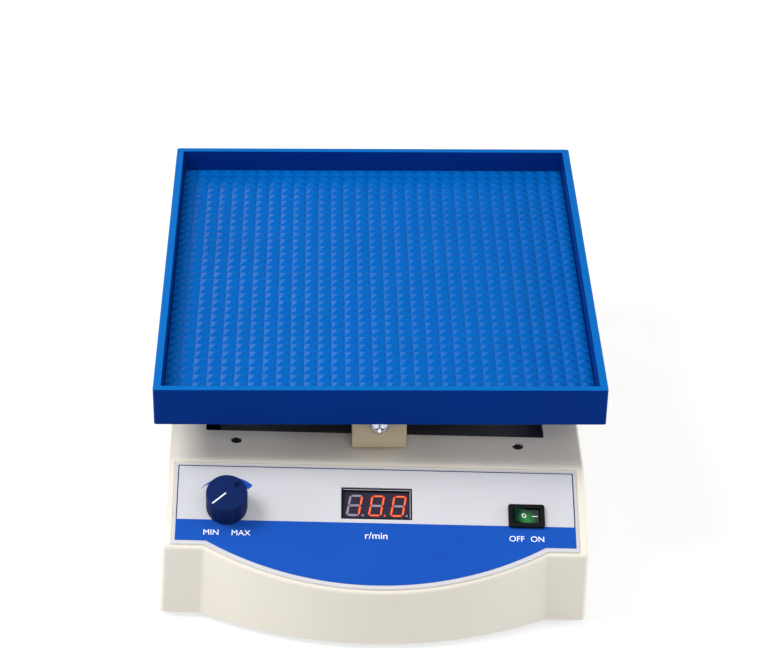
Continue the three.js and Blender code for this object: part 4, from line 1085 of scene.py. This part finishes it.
# The digits read one, nought with its point, and nought
for digit, (lit_bars, point_lit) in enumerate((("bc", False), ("abcdef", True), ("abcdef", False))):
    digit_place = Matrix.Translation((window_place.x + (digit - 1) * digit_pitch, window_place.y, 0))
    for letter, (length, x, y, standing) in bars.items():
        turn = Matrix.Rotation(math.pi / 2, 4, "Z") if standing else Matrix()
        move = digit_place @ lean_right @ Matrix.Translation((x, y, 0)) @ turn
        led_pieces.append(bar("bar_" + letter, length, letter in lit_bars, move))
    point_place = digit_place @ Matrix.Translation((digit_width / 2 + point_gap, -half_tall, 0))
    point = cylinder("point", point_radius, module_high - MM, bar_high, sides=24)
    if point_lit:
        light(point)
    else:
        point.data.materials.append(unlit_bar)
    point.data.transform(point_place)
    led_pieces.append(point)
only(*led_pieces[1:], module)
bpy.ops.object.join()
set_in(module, panel)
finish(module, None, "base", "black_plastic", "digit_display")
# Clear acrylic: it shows what lies behind it, and its polished face adds the room's reflection
acrylic = new_material("clear acrylic, polished")
acrylic_place = add(acrylic, "ShaderNodeTexCoord")
acrylic_haze = add(
    acrylic, "ShaderNodeTexNoise", {"Scale": 1 / (9 * MM), "Detail": 3},
    {"Vector": acrylic_place.outputs["Object"]},
)
acrylic_gloss = add(
    acrylic, "ShaderNodeMapRange", {"To Min": 0.04, "To Max": 0.1},
    {"Value": acrylic_haze.outputs["Fac"]},
)
acrylic_face = add(
    acrylic, "ShaderNodeBsdfPrincipled", {"Base Color": linear("#0c0b10"), "IOR": 1.49},
    {"Roughness": acrylic_gloss.outputs["Result"]},
)
acrylic_clear = add(acrylic, "ShaderNodeBsdfTransparent", {"Color": linear("#e9e6ee")})
# Both faces of the pane reflect by the angle alone, so that its far face never turns into a mirror
acrylic_angle = add(acrylic, "ShaderNodeLayerWeight", {"Blend": 0.5})
acrylic_rise = add(
    acrylic, "ShaderNodeMath", {1: 5.0}, {0: acrylic_angle.outputs["Facing"]}, operation="POWER",
)
acrylic_share = add(
    acrylic, "ShaderNodeMapRange", {"To Min": 0.04, "To Max": 1.0}, {"Value": acrylic_rise.outputs[0]},
)
acrylic_mix = add(
    acrylic, "ShaderNodeMixShader",
    links={
        0: acrylic_share.outputs["Result"], 1: acrylic_clear.outputs[0], 2: acrylic_face.outputs[0],
    },
)
add(acrylic, "ShaderNodeOutputMaterial", links={"Surface": acrylic_mix.outputs[0]})
# Black nylon: satin, with soft highlights on its edges
black_nylon = textured(
    "black moulded nylon", "#08080a", "#0c0c0e", 0.45, 0.5 * MM, 0.02 * MM, patch=12 * MM,
    **{"Specular IOR Level": 0.1},
)
pane_half = Vector((19.15, 9.2)) * MM
pane = cube(
    "window_pane", (*window_place - pane_half, -1.3 * MM), (*window_place + pane_half, -0.25 * MM),
)
soften(pane, 0.15 * MM, segments=2)
set_in(pane, panel)
# A black frame holds the pane in the window. Its inner edge is painted grey only at the top and at the
# right, a painted highlight where light catches it; the frame's black elsewhere is its own colour and
# also stands in for the shade in the gap round the window
painted_highlight_grey = textured(
    "grey, painted highlight on the frame's inner edge", "#a2a2ae", "#9494a0", 0.35, 0.5 * MM, 0.01 * MM, patch=12 * MM, IOR=1.52,
)
frame_half = Vector((20.5, 10.55)) * MM
frame_outer = 0.9 * MM
frame_inner = 0.4 * MM
window_frame = cube(
    "window_frame", (*window_place - frame_half, -1.9 * MM), (*window_place + frame_half, -0.1 * MM),
)
window_frame.data.materials.append(painted_highlight_grey)
pick(window_frame, lambda centre, normal: abs(normal.z) > 0.9)
bpy.ops.mesh.inset(thickness=frame_outer, use_even_offset=True)
bpy.ops.mesh.inset(thickness=frame_inner, use_even_offset=True)
bpy.ops.mesh.bridge_edge_loops()
done()


def outside_painted_highlight(centre, normal):
    """All of the frame but its painted highlight, the inner band of its face at the top and at the
    right.
    """
    aside = centre.xy - window_place
    within = min(frame_half.x - abs(aside.x), frame_half.y - abs(aside.y))
    on_inner_band = abs(normal.z) >= 0.5 and within >= frame_outer
    return not on_inner_band or aside.x < -frame_half.x / 2 or aside.y < -MM


# Painted highlight: black goes over all but the inner band at the top and right, which stays grey
paint(window_frame, black_nylon, outside_painted_highlight)
set_in(window_frame, panel)
finish(window_frame, None, "base", "black_plastic")
finish(pane, acrylic, "base", "clear_acrylic", "display_window")
# Circuit board: green solder mask, drifting between two greens, with faint streaks drawn out in its
# relief
board_green = textured(
    "glass-fibre board, green mask", "#1d5a34", "#2a6d40", 0.35, 2.5 * MM, 0.03 * MM, (1, 0.1, 1),
    patch=6 * MM, IOR=1.5,
)
dress(board_green, "display_board", "power_board")


# Speed knob
# A navy ABS knob, turned by hand on the potentiometer's shaft: forty fine flutes round its side, a
# white line let into its face for a pointer and a round finger dimple opposite.
knob_high = 17.65 * MM
knob_radius = 11.9 * MM
flute_count = 40
flute_radius = 0.8 * MM
flute_depth = 0.45 * MM
flute_high = 16.6 * MM
pointer_turn = math.radians(223.5)
pointer_reach = 5.75 * MM
pointer_half = Vector((5.2, 0.45)) * MM
pointer_slot_half = Vector((5.3, 0.5)) * MM
pointer_low = knob_high - 0.6 * MM
dimple_turn = math.radians(40)
dimple_reach = 7.7 * MM
dimple_radius = 1.7 * MM
knob = spun("fluted_knob", scaled(
    (0, 17.65), (10.9, 17.65), (11.4, 17.5), (11.75, 17.1), (11.9, 16.5), (11.9, 1.5),
    (11.6, 1.05), (8, 1.05), (8, 5.95), (3.3, 5.95), (3.3, 14.95), (0, 14.95),
), 120)
flutes = []
flute_reach = knob_radius - flute_depth + flute_radius
for flute in range(flute_count):
    turn = 2 * math.pi * (flute + 0.5) / flute_count
    flutes.append(cylinder(
        "flute", flute_radius, 0, flute_high,
        (flute_reach * math.cos(turn), flute_reach * math.sin(turn)), 16,
    ))
only(*flutes)
bpy.ops.object.join()
combine(knob, flutes[-1])
pointer_place = Matrix.Rotation(pointer_turn, 4, "Z") @ Matrix.Translation((pointer_reach, 0, 0))
pointer_slot = cube(
    "pointer_slot", (*-pointer_slot_half, pointer_low), (*pointer_slot_half, knob_high + MM),
)
set_in(pointer_slot, pointer_place)
combine(knob, pointer_slot)
dimple_place = Vector((
    dimple_reach * math.cos(dimple_turn), dimple_reach * math.sin(dimple_turn), knob_high - 0.1 * MM,
))
bpy.ops.object.select_all(action="DESELECT")
bpy.ops.mesh.primitive_uv_sphere_add(
    segments=48, ring_count=24, radius=dimple_radius, location=dimple_place,
)
combine(knob, settled("dimple"))
knob_seat = panel @ Matrix.Translation((*knob_place, 0))
set_in(knob, knob_seat)
# Navy ABS: dark blue, satin, so that its edges catch a soft light
navy_abs = textured(
    "navy ABS, satin moulded", "#142454", "#111f49", 0.4, 0.5 * MM, 0.02 * MM, patch=14 * MM,
    **low_sheen,
)
finish(knob, navy_abs, "knob", "navy_plastic", "speed_knob")
pointer = cube("pointer_line", (*-pointer_half, pointer_low), (*pointer_half, knob_high - 0.05 * MM))
soften(pointer, 0.1 * MM, segments=1)
set_in(pointer, knob_seat @ pointer_place)
finish(pointer, white_ink, "knob", "navy_plastic")


# Power switch
# A snap-in rocker switch: black nylon body with a bezel, and a green translucent rocker lit from
# inside. The rocker carries a ring for off and a bar for on.
eased("switch_body", 0.3 * MM, black_nylon, "black_plastic")
rocker_radius = 7.4 * MM
rocker_half_width = 4.6 * MM
rocker_axis_high = 0.35 * MM
rocker_tip = math.radians(10)
rocker_valley = rocker_radius * math.sin(rocker_tip)
rocker_slope = math.radians(10.15)
mark_height = 0.06 * MM
ring_place = -1.9 * MM
stroke_place = 4.6 * MM
rocker_seat = (
    panel @ Matrix.Translation((*switch_place, rocker_axis_high)) @ Matrix.Rotation(rocker_tip, 4, "Y")
)
rocker = cylinder("lit_rocker", rocker_radius, -rocker_half_width, rocker_half_width, sides=96)
set_in(rocker, along_y)
# Its face is a shallow valley: one slope for off, one for on
valley_slopes = []
for side in (-1, 1):
    slope = Matrix.Translation((0, 0, rocker_valley)) @ Matrix.Rotation(-side * rocker_slope, 4, "Y")
    start, end = sorted((0, side * 12 * MM))
    valley_cutter = cube("valley_cutter", (start, -9 * MM, 0), (end, 9 * MM, 12 * MM))
    set_in(valley_cutter, slope)
    combine(rocker, valley_cutter)
    valley_slopes.append(slope)
soften(rocker, 0.4 * MM, angle=30)
set_in(rocker, rocker_seat)
# Lit polycarbonate: deep green, with the lamp's glow strongest in the middle and dying towards the ends
lamp_green = textured(
    "green polycarbonate, lit", "#032618", "#032618", 0.2, 0.6 * MM, 0.01 * MM, patch=5 * MM,
    **{"Specular IOR Level": 0.2, "Emission Strength": 0.26},
)
lamp_place = add(lamp_green, "ShaderNodeTexCoord")
lamp_reach = 6 * MM
lamp_middle = rocker_seat @ Vector((-0.4 * MM, -1.8 * MM, 1.3 * MM))
lamp_centred = add(
    lamp_green, "ShaderNodeMapping",
    {"Location": -lamp_middle / lamp_reach, "Scale": (1 / lamp_reach,) * 3},
    {"Vector": lamp_place.outputs["Object"]},
)
lamp_ball = add(
    lamp_green, "ShaderNodeTexGradient", links={"Vector": lamp_centred.outputs["Vector"]},
    gradient_type="SPHERICAL",
)
lamp_glow = add(lamp_green, "ShaderNodeValToRGB", links={"Fac": lamp_ball.outputs["Fac"]})
lamp_glow.color_ramp.elements[0].color = linear("#01120c")
lamp_glow.color_ramp.elements[1].color = linear("#4ae060")
lamp_glow.color_ramp.elements[1].position = 0.85
lamp_shader = lamp_green.node_tree.nodes["shader"]
lamp_green.node_tree.links.new(lamp_glow.outputs["Color"], lamp_shader.inputs["Emission Color"])
finish(rocker, lamp_green, "rocker", "lit_green", "switch_rocker")
ring = spun("off_ring", [
    (0.95 * MM, 0), (1.4 * MM, 0), (1.4 * MM, mark_height), (0.95 * MM, mark_height), (0.95 * MM, 0),
], 40)
set_in(ring, rocker_seat @ valley_slopes[0] @ Matrix.Translation((ring_place, 0, 0)))
stroke = cube("on_bar", (-1.5 * MM, -0.25 * MM, 0), (1.5 * MM, 0.25 * MM, mark_height))
set_in(stroke, rocker_seat @ valley_slopes[1] @ Matrix.Translation((stroke_place, 0, 0)))
only(ring, stroke)
bpy.ops.object.join()
finish(stroke, white_ink, "rocker", "lit_green")


# Mains inlet
# A snap-in appliance inlet of black nylon in the rear wall, with three flat pins.
# The lead that plugs into it is separate.
eased("mains_inlet", 0.3 * MM, black_nylon, "black_plastic")
